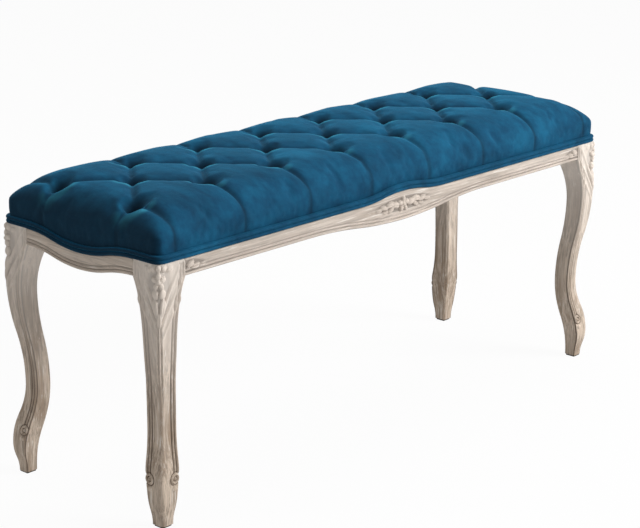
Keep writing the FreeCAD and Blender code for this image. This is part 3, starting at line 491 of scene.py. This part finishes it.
for node, piece, wood in rails:
    piece.data.materials.clear()
    piece.data.materials.append(wood)
    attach(piece, "root")
    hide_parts(node)

# Corner blocks, cleats and cross braces: sawn from plain softwood and left bare under the seat.
# The blocks are screwed across the corners, the cleats run along the long rails under the board,
# and the braces join the long rails.

plain_wood, tree, shader, place = new_material("bare_softwood")
growth = noise_node(tree, place, (0.08, 1.0, 1.0), 60.0, 5.0, 0.6)
year_rings = ramp(tree, growth, "Fac", ((0.35, (0.42, 0.27, 0.13)), (0.50, (0.60, 0.43, 0.24)),
                                        (0.68, (0.68, 0.52, 0.32))))
tree.links.new(year_rings.outputs["Color"], shader.inputs["Base Color"])
shader.inputs["Roughness"].default_value = 0.8
for node in nodes:
    if node.startswith(("corner_block_front", "corner_block_rear")) or "cleat" in node or "brace" in node:
        finish_node(node, plain_wood)

# Hanger bolts, washers, nuts, screws and staples: zinc-plated steel from the shelf. The bolts
# pull the blocks into the posts, and staples hold the twine, the cover and the dust cover.

zinc, tree, shader, place = new_material("zinc_plating")
spangle = noise_node(tree, place, (1.0, 1.0, 1.0), 700.0, 3.0, 0.5)
plating = ramp(tree, spangle, "Fac", ((0.3, (0.42, 0.42, 0.40)), (0.7, (0.66, 0.66, 0.64))))
tree.links.new(plating.outputs["Color"], shader.inputs["Base Color"])
shader.inputs["Metallic"].default_value = 1.0
shader.inputs["Roughness"].default_value = 0.35
for node in ("hanger_bolts", "bolt_washers", "bolt_nuts", "corner_block_screws", "seat_board_screws",
             "twine_staples", "cover_staples", "dust_cover_staples"):
    finish_node(node, zinc)

# Seat board: one sheet of plywood, pale veneer over darker plies at its edge. It is drilled for
# the tufting twine and screwed down.

plywood, tree, shader, place = new_material("plywood")
plies = tree.nodes.new("ShaderNodeTexWave")
plies.bands_direction = "Z"
plies.inputs["Scale"].default_value = 110.0
plies.inputs["Distortion"].default_value = 0.6
link(tree, place, "Object", plies, "Vector")
face = noise_node(tree, place, (0.06, 1.0, 1.0), 55.0, 5.0, 0.6)
layers = ramp(tree, plies, "Fac", ((0.40, (0.48, 0.31, 0.16)), (0.60, (0.70, 0.53, 0.33))))
veneer = ramp(tree, face, "Fac", ((0.35, (0.56, 0.39, 0.22)), (0.65, (0.72, 0.55, 0.35))))
board_colour = mixed(tree, 0.5, (layers, "Color"), (veneer, "Color"))
tree.links.new(board_colour.outputs[2], shader.inputs["Base Color"])
shader.inputs["Roughness"].default_value = 0.75
finish_node("seat_board", plywood)

# Tufting twine: waxed flax, twisted from fine strands. One length runs from each button down
# through the foam and the board, and a staple holds it underneath.

flax, tree, shader, place = new_material("waxed_twine")
strands = noise_node(tree, place, (1.0, 1.0, 0.25), 1500.0, 3.0, 0.6)
threads = ramp(tree, strands, "Fac", ((0.3, (0.34, 0.27, 0.16)), (0.7, (0.56, 0.47, 0.32))))
tree.links.new(threads.outputs["Color"], shader.inputs["Base Color"])
shader.inputs["Roughness"].default_value = 0.6
finish_node("tuft_twines", flax)

# Foam pad: cream open-cell foam on the board, with a square well cut out under each tuft.
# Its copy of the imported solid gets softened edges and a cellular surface.

foam = nodes["foam_pad"].copy()
foam.data = nodes["foam_pad"].data.copy()
foam.name = foam.data.name = "cut_foam_pad"
foam.parent = None
for key in list(foam.keys()):
    del foam[key]
bpy.context.scene.collection.objects.link(foam)
bpy.ops.object.select_all(action="DESELECT")
foam.select_set(True)
bpy.context.view_layer.objects.active = foam
bpy.ops.object.mode_set(mode="EDIT")
bpy.ops.mesh.select_all(action="SELECT")
bpy.ops.mesh.remove_doubles(threshold=0.00001)
bpy.ops.mesh.dissolve_limited(angle_limit=math.radians(2))
bpy.ops.object.mode_set(mode="OBJECT")
soften = foam.modifiers.new("soften", "BEVEL")
soften.width = 0.0012
soften.segments = 2
soften.limit_method = "ANGLE"
bpy.ops.object.modifier_apply(modifier="soften")
FOAM_SIDE, FOAM_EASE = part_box("foam_pad")[1].y, 0.0025
for vertex in foam.data.vertices:
    if abs(vertex.co.y) > FOAM_SIDE - 0.003:
        vertex.co.y -= math.copysign(FOAM_EASE, vertex.co.y)
cells, tree, shader, place = new_material("open_cell_foam")
bubbles = tree.nodes.new("ShaderNodeTexVoronoi")
bubbles.inputs["Scale"].default_value = 900.0
link(tree, place, "Object", bubbles, "Vector")
foam_colour = ramp(tree, bubbles, "Distance", ((0.1, (0.52, 0.46, 0.27)), (0.5, (0.78, 0.72, 0.50))))
tree.links.new(foam_colour.outputs["Color"], shader.inputs["Base Color"])
shader.inputs["Roughness"].default_value = 0.95
foam.data.materials.clear()
foam.data.materials.append(cells)
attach(foam, "root")
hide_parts("foam_pad")

# Tufted cover: peacock velvet over wadding, pulled down by hand at 23 buttons in three rows.
# Diagonal folds join the buttons, straight pleats run from the outer ones over the long edges,
# and a cloth simulation fills the puffs between them.

COVER_X, COVER_Y = HALF_LENGTH - 0.0022, HALF_DEPTH - 0.0022
SIDE_TOP, CROWN_RISE, CROWN_REACH = 0.4607, 0.0410, 0.120
TUFT_SPACING, ROW_Y, TUFT_FLOOR = 0.1492, 0.085, 0.4535
FOLD_DEPTH, FOLD_REACH, PIT_REACH = 0.0100, 0.018, 0.027
PIT_FLAT, PUFF_RISE, PUFF_REACH = 0.005, 0.0012, 0.045
CELL, SKIRT_ROWS = 0.005, 6
outer_x = [(i - 3.5) * TUFT_SPACING for i in range(8)]
middle_x = [(i - 3.0) * TUFT_SPACING for i in range(7)]
tufts = [(x, 0.0) for x in middle_x] + [(x, side * ROW_Y) for side in (-1, 1) for x in outer_x]


def crown_share(inset):
    """Share of the crown's rise at a distance in from the cushion's side."""
    share = np.clip(inset / CROWN_REACH, 0.0, 1.0)
    return (1 - (1 - share) ** 4) ** (1 / 1.5)


def rolled(distance, reach):
    """1 at a crease, 0 past its reach, round like the lip of a puff."""
    share = np.clip(distance / reach, 0.0, 1.0)
    return 1 - np.sqrt(1 - (1 - share) ** 2)


def from_segment(x, y, start, end):
    """Distance from points to a segment."""
    run = (end[0] - start[0], end[1] - start[1])
    share = ((x - start[0]) * run[0] + (y - start[1]) * run[1]) / (run[0] ** 2 + run[1] ** 2)
    share = np.clip(share, 0.0, 1.0)
    return np.hypot(x - start[0] - share * run[0], y - start[1] - share * run[1])


def cushion_top(x, y):
    """Level of the tufted top before it is filled, and how near each point is to a crease or tuft."""
    end_share, side_share = crown_share(COVER_X - np.abs(x)), crown_share(COVER_Y - np.abs(y))
    level = SIDE_TOP + CROWN_RISE * end_share * side_share
    crease = np.full_like(x, 1.0)
    for side in (-1, 1):
        for outer in outer_x:
            for middle in middle_x:
                if abs(outer - middle) < TUFT_SPACING:
                    crease = np.minimum(crease, from_segment(x, y, (outer, side * ROW_Y), (middle, 0.0)))
            crease = np.minimum(crease, from_segment(x, y, (outer, side * ROW_Y), (outer, side * COVER_Y)))
        for hand in (-1, 1):
            end = (hand * outer_x[-1], side * ROW_Y)
            crease = np.minimum(crease, from_segment(x, y, end, (hand * COVER_X, side * ROW_Y)))
    pit = np.min([np.hypot(x - tx, y - ty) for tx, ty in tufts], axis=0)
    fold = FOLD_DEPTH * end_share * side_share * rolled(crease, FOLD_REACH)
    deep = (level - TUFT_FLOOR) * rolled(pit - PIT_FLAT, PIT_REACH)
    puff = PUFF_RISE * np.clip(crease / PUFF_REACH, 0.0, 1.0) ** 0.8 * end_share * side_share
    return level + puff - np.maximum(fold, deep), crease, pit


across_x = np.linspace(-COVER_X, COVER_X, int(2 * COVER_X / CELL) + 1)
across_y = np.linspace(-COVER_Y, COVER_Y, int(2 * COVER_Y / CELL) + 1)
grid_x, grid_y = [g.copy() for g in np.meshgrid(across_x, across_y, indexing="ij")]
top_z, crease, pit = cushion_top(grid_x, grid_y)

# the plan's corners are rounded and its long sides drawn in
CORNER, SIDE_HOLLOW = 0.016, 0.003
corner_x = np.clip(np.abs(grid_x) - COVER_X + CORNER, 0.0, CORNER) / CORNER
corner_y = np.clip(np.abs(grid_y) - COVER_Y + CORNER, 0.0, CORNER) / CORNER
in_corner = (corner_x > 0) & (corner_y > 0)
round_x = corner_x * np.sqrt(1 - corner_y ** 2 / 2)
round_y = corner_y * np.sqrt(1 - corner_x ** 2 / 2)
plan_x = np.where(in_corner, np.sign(grid_x) * (COVER_X - CORNER + CORNER * round_x), grid_x)
plan_y = np.where(in_corner, np.sign(grid_y) * (COVER_Y - CORNER + CORNER * round_y), grid_y)
hollow = SIDE_HOLLOW * (1 - (plan_x / COVER_X) ** 2)
plan_y = plan_y - np.sign(plan_y) * hollow * (np.abs(plan_y) / COVER_Y) ** 6

count_x, count_y = len(across_x), len(across_y)
index = np.arange(count_x * count_y).reshape(count_x, count_y)
points = np.stack([plan_x, plan_y, top_z], axis=-1).reshape(-1, 3).tolist()
faces = [(int(index[i, j]), int(index[i + 1, j]), int(index[i + 1, j + 1]), int(index[i, j + 1]))
         for i in range(count_x - 1) for j in range(count_y - 1)]
rim = [int(index[i, 0]) for i in range(count_x - 1)] + [int(index[-1, j]) for j in range(count_y - 1)]
rim += [int(index[i, -1]) for i in range(count_x - 1, 0, -1)]
rim += [int(index[0, j]) for j in range(count_y - 1, 0, -1)]
BAND_GAP, BAND_CORNER = 0.0010, 0.020


def band_foot(x, y):
    """Level of the cover's lower edge, behind the welt."""
    if abs(y) > HALF_DEPTH - BAND_CORNER and abs(x) < HALF_LENGTH - BAND_CORNER:
        return WOOD_TOP + BAND_GAP + swell(x, *FRONT_CREST)
    return WOOD_TOP + BAND_GAP + (swell(y, *END_DIP) if abs(y) < END_DIP[0] else 0.0)


# the skirt: rows of cloth drawn down all round the rim, bellied, pleated and tucked in at its foot
PLEAT_DEPTH, PLEAT_REACH, PLEAT_LINE, PLEAT_SHADE = 0.0046, 0.014, 0.0045, -0.7
TUCK_IN, BELLY, LONG_SIDE = 0.0016, 0.0015, HALF_DEPTH - 0.008
pinned = {}
skirt_pleat_shade = []
previous = rim
for row in range(1, SKIRT_ROWS + 1):
    ring = []
    for vertex in rim:
        x, y, z = points[vertex]
        share = row / SKIRT_ROWS
        if abs(y) > LONG_SIDE:
            outward = Vector((0.0, math.copysign(1, y)))
            near = min(abs(x - place) for place in outer_x)
        else:
            outward = Vector((math.copysign(1, x), 0.0))
            near = abs(abs(y) - ROW_Y)
        pleat = PLEAT_DEPTH * float(rolled(np.array(near), PLEAT_REACH)) * (1 - share) ** 1.5
        tuck = TUCK_IN * share - BELLY * math.sin(math.pi * share) + pleat
        # painted shade along the line of each pleat
        skirt_pleat_shade.append(PLEAT_SHADE * math.exp(-(near / PLEAT_LINE) ** 2))
        ring.append(len(points))
        points.append([x - outward.x * tuck, y - outward.y * tuck, z + (band_foot(x, y) - z) * share])
    faces += [(previous[i - 1], ring[i - 1], ring[i], previous[i]) for i in range(len(rim))]
    for vertex, below in zip(rim, ring):
        pinned[below] = 1.0 if row > SKIRT_ROWS - 3 else 0.0
    previous = ring
skirt_foot = previous

# the cloth is held at the tufts and the skirt's foot, and lightly along the folds
HELD_PIT, HELD_CREASE = 0.009, 0.005
for vertex, (near_crease, near_pit) in enumerate(zip(crease.reshape(-1), pit.reshape(-1))):
    pinned[vertex] = 1.0 if near_pit < HELD_PIT else 0.25 * float(near_crease < HELD_CREASE)

mesh = bpy.data.meshes.new("velvet_cover")
mesh.from_pydata(points, [], faces)
cover = bpy.data.objects.new("velvet_cover", mesh)
bpy.context.scene.collection.objects.link(cover)
rest_points = np.array(points)
TRAVEL_CAP, FILLING_STEPS = 0.005, 20
held = cover.vertex_groups.new(name="held")
for vertex, weight in pinned.items():
    if weight > 0:
        held.add([vertex], weight, "REPLACE")
cloth = cover.modifiers.new("filling", "CLOTH")
cloth.settings.quality = 5
cloth.settings.mass = 0.3
cloth.settings.tension_stiffness = 12
cloth.settings.compression_stiffness = 12
cloth.settings.shear_stiffness = 5
cloth.settings.bending_stiffness = 0.6
cloth.settings.use_pressure = True
cloth.settings.uniform_pressure_force = 2.6
cloth.settings.shrink_min = -0.012
cloth.settings.vertex_group_mass = "held"
cloth.settings.effector_weights.gravity = 0.0
cloth.collision_settings.use_collision = False
cloth.point_cache.frame_start = 1
cloth.point_cache.frame_end = FILLING_STEPS
for step in range(FILLING_STEPS):
    bpy.context.scene.frame_set(step + 1)
filled = cover.evaluated_get(bpy.context.evaluated_depsgraph_get())
moved = np.array([v.co[:] for v in filled.data.vertices])
cover.modifiers.clear()
bpy.context.scene.frame_set(1)
travel = moved - rest_points
length = np.linalg.norm(travel, axis=1, keepdims=True)
travel *= np.minimum(1.0, TRAVEL_CAP / np.maximum(length, 1e-9))
settled = rest_points + travel
cover.data.vertices.foreach_set("co", settled.reshape(-1))
cover.vertex_groups.clear()

# the underside: wadding down to the foam, open for the pad, the board and the frame
SKIRT_BACK, BOARD_REACH, BOARD_LEVEL, FOAM_LEVEL = 0.0065, 0.011, 0.4395, 0.4703
edit = [list(v.co) for v in cover.data.vertices]
under = {}
for i in range(count_x):
    for j in range(count_y):
        vertex = int(index[i, j])
        inset = min(COVER_X - abs(grid_x[i, j]), COVER_Y - abs(grid_y[i, j]))
        if inset < 0.001:
            continue
        level = BOARD_LEVEL if inset < BOARD_REACH else FOAM_LEVEL
        top = edit[vertex]
        if inset < SKIRT_BACK:
            level = band_foot(top[0], top[1])
        under[vertex] = len(edit)
        edit.append([top[0], top[1], min(level, top[2] - 0.002)])
for vertex, foot in zip(rim, skirt_foot):
    under[vertex] = foot
under_faces = [tuple(under[v] for v in face[::-1]) for face in faces[:(count_x - 1) * (count_y - 1)]]
mesh = bpy.data.meshes.new("velvet_cover_closed")
mesh.from_pydata(edit, [], faces + under_faces)

# a painted highlight on the front left lip of each tuft, and painted shade in the pits and along the folds
LIP, LIP_WIDTH, PIT_RIM, PIT_FADE, FOLD_LINE = 0.030, 0.007, 0.021, 0.012, 0.0035
nearest = np.argmin([np.hypot(grid_x - tx, grid_y - ty) for tx, ty in tufts], axis=0)
tuft_x, tuft_y = np.array(tufts)[nearest].T.reshape(2, count_y, count_x).transpose(0, 2, 1)
facing = (0.70 * (tuft_x - grid_x) + 0.71 * (tuft_y - grid_y)) / np.maximum(pit, 0.001)
painted_lip_highlight = np.exp(-((pit - LIP) / LIP_WIDTH) ** 2) * np.clip(1.3 * facing, 0.0, 1.0)
painted_pit_and_fold_shade = np.clip((PIT_RIM - pit) / PIT_FADE, 0.0, 1.0)
painted_pit_and_fold_shade = np.maximum(painted_pit_and_fold_shade, 0.75 * np.exp(-(crease / FOLD_LINE) ** 2))
painted_light_and_shade = np.zeros(len(edit))
painted_light_and_shade[:count_x * count_y] = (painted_lip_highlight - painted_pit_and_fold_shade).reshape(-1)
painted_light_and_shade[count_x * count_y:len(points)] = skirt_pleat_shade
mesh.attributes.new("painted_light_and_shade", "FLOAT", "POINT").data.foreach_set("value", painted_light_and_shade)
cover.data = mesh
mesh.name = "velvet_cover"
bpy.ops.object.select_all(action="DESELECT")
cover.select_set(True)
bpy.context.view_layer.objects.active = cover
bpy.ops.object.mode_set(mode="EDIT")
bpy.ops.mesh.select_all(action="SELECT")
bpy.ops.mesh.normals_make_consistent(inside=False)
bpy.ops.object.mode_set(mode="OBJECT")
finer = cover.modifiers.new("finer", "SUBSURF")
finer.levels = finer.render_levels = 1
bpy.ops.object.modifier_apply(modifier="finer")
bpy.ops.object.shade_smooth()


def velvet(name):
    """Peacock velvet: a short dense pile, brushed into lighter and darker patches, with a soft sheen,
    painted highlights and painted shade.
    """
    material, tree, shader, place = new_material(name)
    nap = noise_node(tree, place, (1.0, 1.0, 1.0), 11.0, 5.0, 0.62)
    stroke = noise_node(tree, place, (1.0, 0.35, 1.0), 46.0, 4.0, 0.6)
    pile = noise_node(tree, place, (1.0, 1.0, 1.0), 2600.0, 2.0, 0.6)
    patches = ramp(tree, nap, "Fac", ((0.38, (0.0010, 0.034, 0.078)), (0.52, (0.0020, 0.058, 0.128)),
                                      (0.66, (0.0060, 0.110, 0.215))))
    strokes = ramp(tree, stroke, "Fac", ((0.36, (0.0012, 0.038, 0.086)), (0.66, (0.0050, 0.100, 0.195))))
    brushed = mixed(tree, 0.40, (patches, "Color"), (strokes, "Color"))
    painted_light_and_shade = tree.nodes.new("ShaderNodeAttribute")
    painted_light_and_shade.attribute_name = "painted_light_and_shade"
    # painted highlight: the lip values lighten the velvet towards a pale teal
    lip_highlight = ramp(tree, painted_light_and_shade, "Fac", ((0.10, (0.0, 0.0, 0.0)), (0.90, (0.70, 0.70, 0.70))))
    lit = mixed(tree, (lip_highlight, "Color"), (brushed, 2), (0.040, 0.300, 0.440))
    # painted shade: the pit, fold and pleat values darken the velvet towards near black
    pit_shade = tree.nodes.new("ShaderNodeMapRange")
    pit_shade.inputs["From Max"].default_value = -1.0
    pit_shade.inputs["To Max"].default_value = 0.85
    link(tree, painted_light_and_shade, "Fac", pit_shade, "Value")
    pit_shaded = mixed(tree, (pit_shade, "Result"), (lit, 2), (0.0006, 0.010, 0.022))
    # painted shade: faces turned towards -X are darkened towards near black
    surface = tree.nodes.new("ShaderNodeNewGeometry")
    away = tree.nodes.new("ShaderNodeSeparateXYZ")
    link(tree, surface, "Normal", away, "Vector")
    left_face_shade = tree.nodes.new("ShaderNodeMapRange")
    left_face_shade.inputs["From Min"].default_value = -0.25
    left_face_shade.inputs["From Max"].default_value = -0.90
    left_face_shade.inputs["To Max"].default_value = 0.80
    link(tree, away, "X", left_face_shade, "Value")
    shaded = mixed(tree, (left_face_shade, "Result"), (pit_shaded, 2), (0.0008, 0.010, 0.022))
    tree.links.new(shaded.outputs[2], shader.inputs["Base Color"])
    shader.inputs["Roughness"].default_value = 0.85
    shader.inputs["Specular IOR Level"].default_value = 0.15
    shader.inputs["Sheen Weight"].default_value = 0.36
    shader.inputs["Sheen Roughness"].default_value = 0.38
    shader.inputs["Sheen Tint"].default_value = (0.03, 0.40, 0.70, 1.0)
    bump = tree.nodes.new("ShaderNodeBump")
    bump.inputs["Strength"].default_value = 0.25
    bump.inputs["Distance"].default_value = 0.0004
    link(tree, pile, "Fac", bump, "Height")
    wrinkle = noise_node(tree, place, (1.0, 1.0, 1.0), 60.0, 3.0, 0.5)
    ruck = tree.nodes.new("ShaderNodeBump")
    ruck.inputs["Strength"].default_value = 0.35
    ruck.inputs["Distance"].default_value = 0.0030
    link(tree, wrinkle, "Fac", ruck, "Height")
    link(tree, bump, "Normal", ruck, "Normal")
    link(tree, ruck, "Normal", shader, "Normal")
    return material


peacock = velvet("peacock_velvet")
cover.data.materials.append(peacock)
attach(cover, "root")
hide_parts("tufted_cover")

# Tuft buttons: small domed shells wrapped in the same velvet, each held at the bottom
# of its tuft by its own twine.

BUTTON_RADIUS, BUTTON_DEPTH, BUTTON_LEVEL = 0.0066, 0.0030, 0.4556
buttons = []
for x, y in tufts:
    bpy.ops.object.select_all(action="DESELECT")
    bpy.ops.mesh.primitive_cylinder_add(vertices=20, radius=BUTTON_RADIUS, depth=BUTTON_DEPTH,
                                        location=(x, y, BUTTON_LEVEL))
    button = bpy.context.object
    bpy.ops.object.mode_set(mode="EDIT")
    bpy.ops.mesh.select_mode(type="FACE")
    bpy.ops.mesh.select_all(action="DESELECT")
    bpy.ops.object.mode_set(mode="OBJECT")
    for face in button.data.polygons:
        face.select = face.normal.z > 0.9
    bpy.ops.object.mode_set(mode="EDIT")
    for shrink, lift in ((0.0012, 0.0010), (0.0022, 0.0008)):
        bpy.ops.mesh.inset(thickness=shrink)
        bpy.ops.transform.translate(value=(0, 0, lift))
    bpy.ops.object.mode_set(mode="OBJECT")
    bpy.ops.object.transform_apply(location=True, rotation=True, scale=True)
    buttons.append(button)
bpy.ops.object.select_all(action="DESELECT")
for button in buttons:
    button.select_set(True)
bpy.context.view_layer.objects.active = buttons[0]
bpy.ops.object.join()
buttons = bpy.context.object
buttons.name = buttons.data.name = "covered_buttons"
bpy.ops.object.shade_smooth_by_angle(angle=math.radians(50))
buttons.data.materials.clear()
buttons.data.materials.append(peacock)
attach(buttons, "root")
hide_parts("tuft_buttons")

# Double welt: two velvet-covered cords stitched side by side and glued round the foot of the
# cushion, over the staples. It follows the crest, the dips and the corners of the wood.

CORD, CORD_STEPS, CORD_BULGE, WELT_SEAT = 0.0062, 8, 1.05, 0.0003
WELT_IN, WELT_CORNER, WANDER = 0.0001, 0.0159, 0.00022


def welt_ring(x, y, out, rise, run):
    """Points round the pair of cords at a place, facing outward."""
    ring = []
    radius = CORD / 2 + WANDER * noise.noise(Vector((run * 60, 0.0, 3.0)))
    for centre in (0.5, 1.5):
        for i in range(CORD_STEPS + 1):
            turn = math.radians(-90 + 180 * i / CORD_STEPS)
            ring.append((radius * math.cos(turn) * CORD_BULGE, CORD * centre + radius * math.sin(turn)))
    ring += [(-CORD / 2, 2 * CORD), (-CORD / 2, CORD), (-CORD / 2, 0.0)]
    return [(x + out[0] * off, y + out[1] * off, WOOD_TOP + WELT_SEAT + rise + up) for off, up in ring]


welt_x, welt_y = HALF_LENGTH - WELT_IN - WELT_CORNER, HALF_DEPTH - WELT_IN - WELT_CORNER
STITCH, CORNER_STITCH, CORNER_STEPS = 0.0055, 0.0028, 9
rings = []
run = 0.0
for quarter in range(4):
    hand_x = 1 if quarter in (0, 3) else -1
    hand_y = 1 if quarter in (0, 1) else -1
    for i in range(CORNER_STEPS):
        turn = math.pi / 2 * (quarter + i / CORNER_STEPS)
        out = (math.cos(turn), math.sin(turn))
        rings.append(welt_ring(hand_x * welt_x + out[0] * WELT_CORNER,
                               hand_y * welt_y + out[1] * WELT_CORNER, out, 0.0, run + CORNER_STITCH * i))
    long_side = quarter % 2 == 0
    side = hand_x
    half = welt_x if long_side else welt_y
    count = int(2 * half / STITCH)
    for i in range(count + 1):
        along = -half + 2 * half * i / count
        run += STITCH
        if long_side:
            rings.append(welt_ring(-side * along, side * (welt_y + WELT_CORNER), (0, side),
                                   swell(along, *FRONT_CREST), run))
        else:
            rings.append(welt_ring(side * (welt_x + WELT_CORNER), side * along, (side, 0),
                                   swell(along, *END_DIP), run))
welt = wrapped("velvet_double_welt", rings, loop=True)
welt.data.materials.clear()
welt.data.materials.append(peacock)
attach(welt, "root")
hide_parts("double_welt")

# Dust cover: thin black spun cloth, notched at its corners, stretched under the frame and stapled
# to the blocks and cleats. It sags a little between them.

dust_low, dust_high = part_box("dust_cover")
CLOTH_X, CLOTH_Y, NOTCH, SAG = dust_high.x, dust_high.y, 0.027, 0.0035
bpy.ops.object.select_all(action="DESELECT")
bpy.ops.mesh.primitive_grid_add(x_subdivisions=79, y_subdivisions=22, size=1, location=(0, 0, 0))
dust = bpy.context.object
dust.name = dust.data.name = "spun_dust_cover"
for vertex in dust.data.vertices:
    x, y = vertex.co.x * 2 * CLOTH_X, vertex.co.y * 2 * CLOTH_Y
    sag = SAG * (1 - (x / CLOTH_X) ** 4) * (1 - (y / CLOTH_Y) ** 2)
    ripple = 0.0006 * noise.noise(Vector((x * 14, y * 20, 0.0)))
    vertex.co = (x, y, dust_low.z + 0.0003 - sag + ripple * (1 - (y / CLOTH_Y) ** 2))
bpy.ops.object.mode_set(mode="EDIT")
bpy.ops.mesh.select_mode(type="FACE")
bpy.ops.mesh.select_all(action="DESELECT")
bpy.ops.object.mode_set(mode="OBJECT")
for face in dust.data.polygons:
    face.select = abs(face.center.x) > CLOTH_X - NOTCH and abs(face.center.y) > CLOTH_Y - NOTCH
bpy.ops.object.mode_set(mode="EDIT")
bpy.ops.mesh.delete(type="FACE")
bpy.ops.object.mode_set(mode="OBJECT")
thick = dust.modifiers.new("thick", "SOLIDIFY")
thick.thickness = 0.0004
thick.offset = 0.0
bpy.ops.object.modifier_apply(modifier="thick")
bpy.ops.object.shade_smooth_by_angle(angle=math.radians(40))
spun, tree, shader, place = new_material("black_spun_cloth")
web = noise_node(tree, place, (1.0, 1.0, 1.0), 900.0, 4.0, 0.7)
filaments = ramp(tree, web, "Fac", ((0.3, (0.008, 0.008, 0.009)), (0.7, (0.030, 0.030, 0.032))))
tree.links.new(filaments.outputs["Color"], shader.inputs["Base Color"])
shader.inputs["Roughness"].default_value = 0.9
dust.data.materials.clear()
dust.data.materials.append(spun)
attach(dust, "root")
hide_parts("dust_cover")

# The room: a pale floor that runs into a white background, a large soft lamp in front, one above,
# a weak one at the left, and the camera beyond the bench's front left corner.

bpy.ops.object.select_all(action="DESELECT")
bpy.ops.mesh.primitive_plane_add(size=40, location=(0, 0, 0))
floor = bpy.context.object
floor.name = floor.data.name = "pale_floor"
paper = bpy.data.materials.new("pale_floor")
paper.use_nodes = True
tree = paper.node_tree
tree.nodes.clear()
diffuse = tree.nodes.new("ShaderNodeBsdfDiffuse")
diffuse.inputs["Color"].default_value = (0.80, 0.80, 0.80, 1)
glow = tree.nodes.new("ShaderNodeEmission")
glow.inputs["Strength"].default_value = 1.0
seen = tree.nodes.new("ShaderNodeLightPath")
share = tree.nodes.new("ShaderNodeMath")
share.operation = "MULTIPLY"
share.inputs[1].default_value = 0.95
blend = tree.nodes.new("ShaderNodeMixShader")
output = tree.nodes.new("ShaderNodeOutputMaterial")
link(tree, seen, "Is Camera Ray", share, 0)
link(tree, share, "Value", blend, 0)
tree.links.new(diffuse.outputs[0], blend.inputs[1])
tree.links.new(glow.outputs[0], blend.inputs[2])
tree.links.new(blend.outputs[0], output.inputs[0])
floor.data.materials.append(paper)

world = bpy.data.worlds.new("studio")
bpy.context.scene.world = world
world.use_nodes = True
tree = world.node_tree
tree.nodes.clear()
seen = tree.nodes.new("ShaderNodeLightPath")
widest = tree.nodes.new("ShaderNodeMath")
widest.operation = "MAXIMUM"
light = tree.nodes.new("ShaderNodeBackground")
light.inputs["Color"].default_value = (1.0, 0.99, 0.97, 1)
light.inputs["Strength"].default_value = 0.34
white = tree.nodes.new("ShaderNodeBackground")
white.inputs["Strength"].default_value = 1.0
white.inputs["Color"].default_value = (1, 1, 1, 1)
blend = tree.nodes.new("ShaderNodeMixShader")
output = tree.nodes.new("ShaderNodeOutputWorld")
link(tree, seen, "Is Camera Ray", widest, 0)
link(tree, seen, "Is Glossy Ray", widest, 1)
link(tree, widest, "Value", blend, 0)
tree.links.new(light.outputs[0], blend.inputs[1])
tree.links.new(white.outputs[0], blend.inputs[2])
tree.links.new(blend.outputs[0], output.inputs[0])

TARGET = Vector((-0.00461, 0.00498, 0.26737))
for name, place, width, power in (("key", (2.2, -3.2, 2.6), 2.2, 182), ("top", (0.3, 0.6, 3.4), 2.8, 30),
                                  ("fill", (-3.6, -0.6, 1.5), 2.0, 4)):
    lamp = bpy.data.lights.new(name, "AREA")
    lamp.shape = "DISK"
    lamp.size = width
    lamp.energy = power
    lamp_object = bpy.data.objects.new(name, lamp)
    bpy.context.scene.collection.objects.link(lamp_object)
    lamp_object.location = place
    lamp_object.rotation_euler = (TARGET - Vector(place)).to_track_quat("-Z", "Y").to_euler()

camera = bpy.data.cameras.new("camera")
camera.lens = 110.1
camera.sensor_width = 36
camera_object = bpy.data.objects.new("camera", camera)
bpy.context.scene.collection.objects.link(camera_object)
stand = Vector((-2.43866, -2.17733, 1.24380))
aim = (TARGET - stand).to_track_quat("-Z", "Y").to_matrix().to_4x4()
camera_object.matrix_world = Matrix.Translation(stand) @ aim @ Matrix.Rotation(math.radians(0.44), 4, "Z")
bpy.context.scene.camera = camera_object
bpy.context.scene.view_settings.view_transform = "Standard"
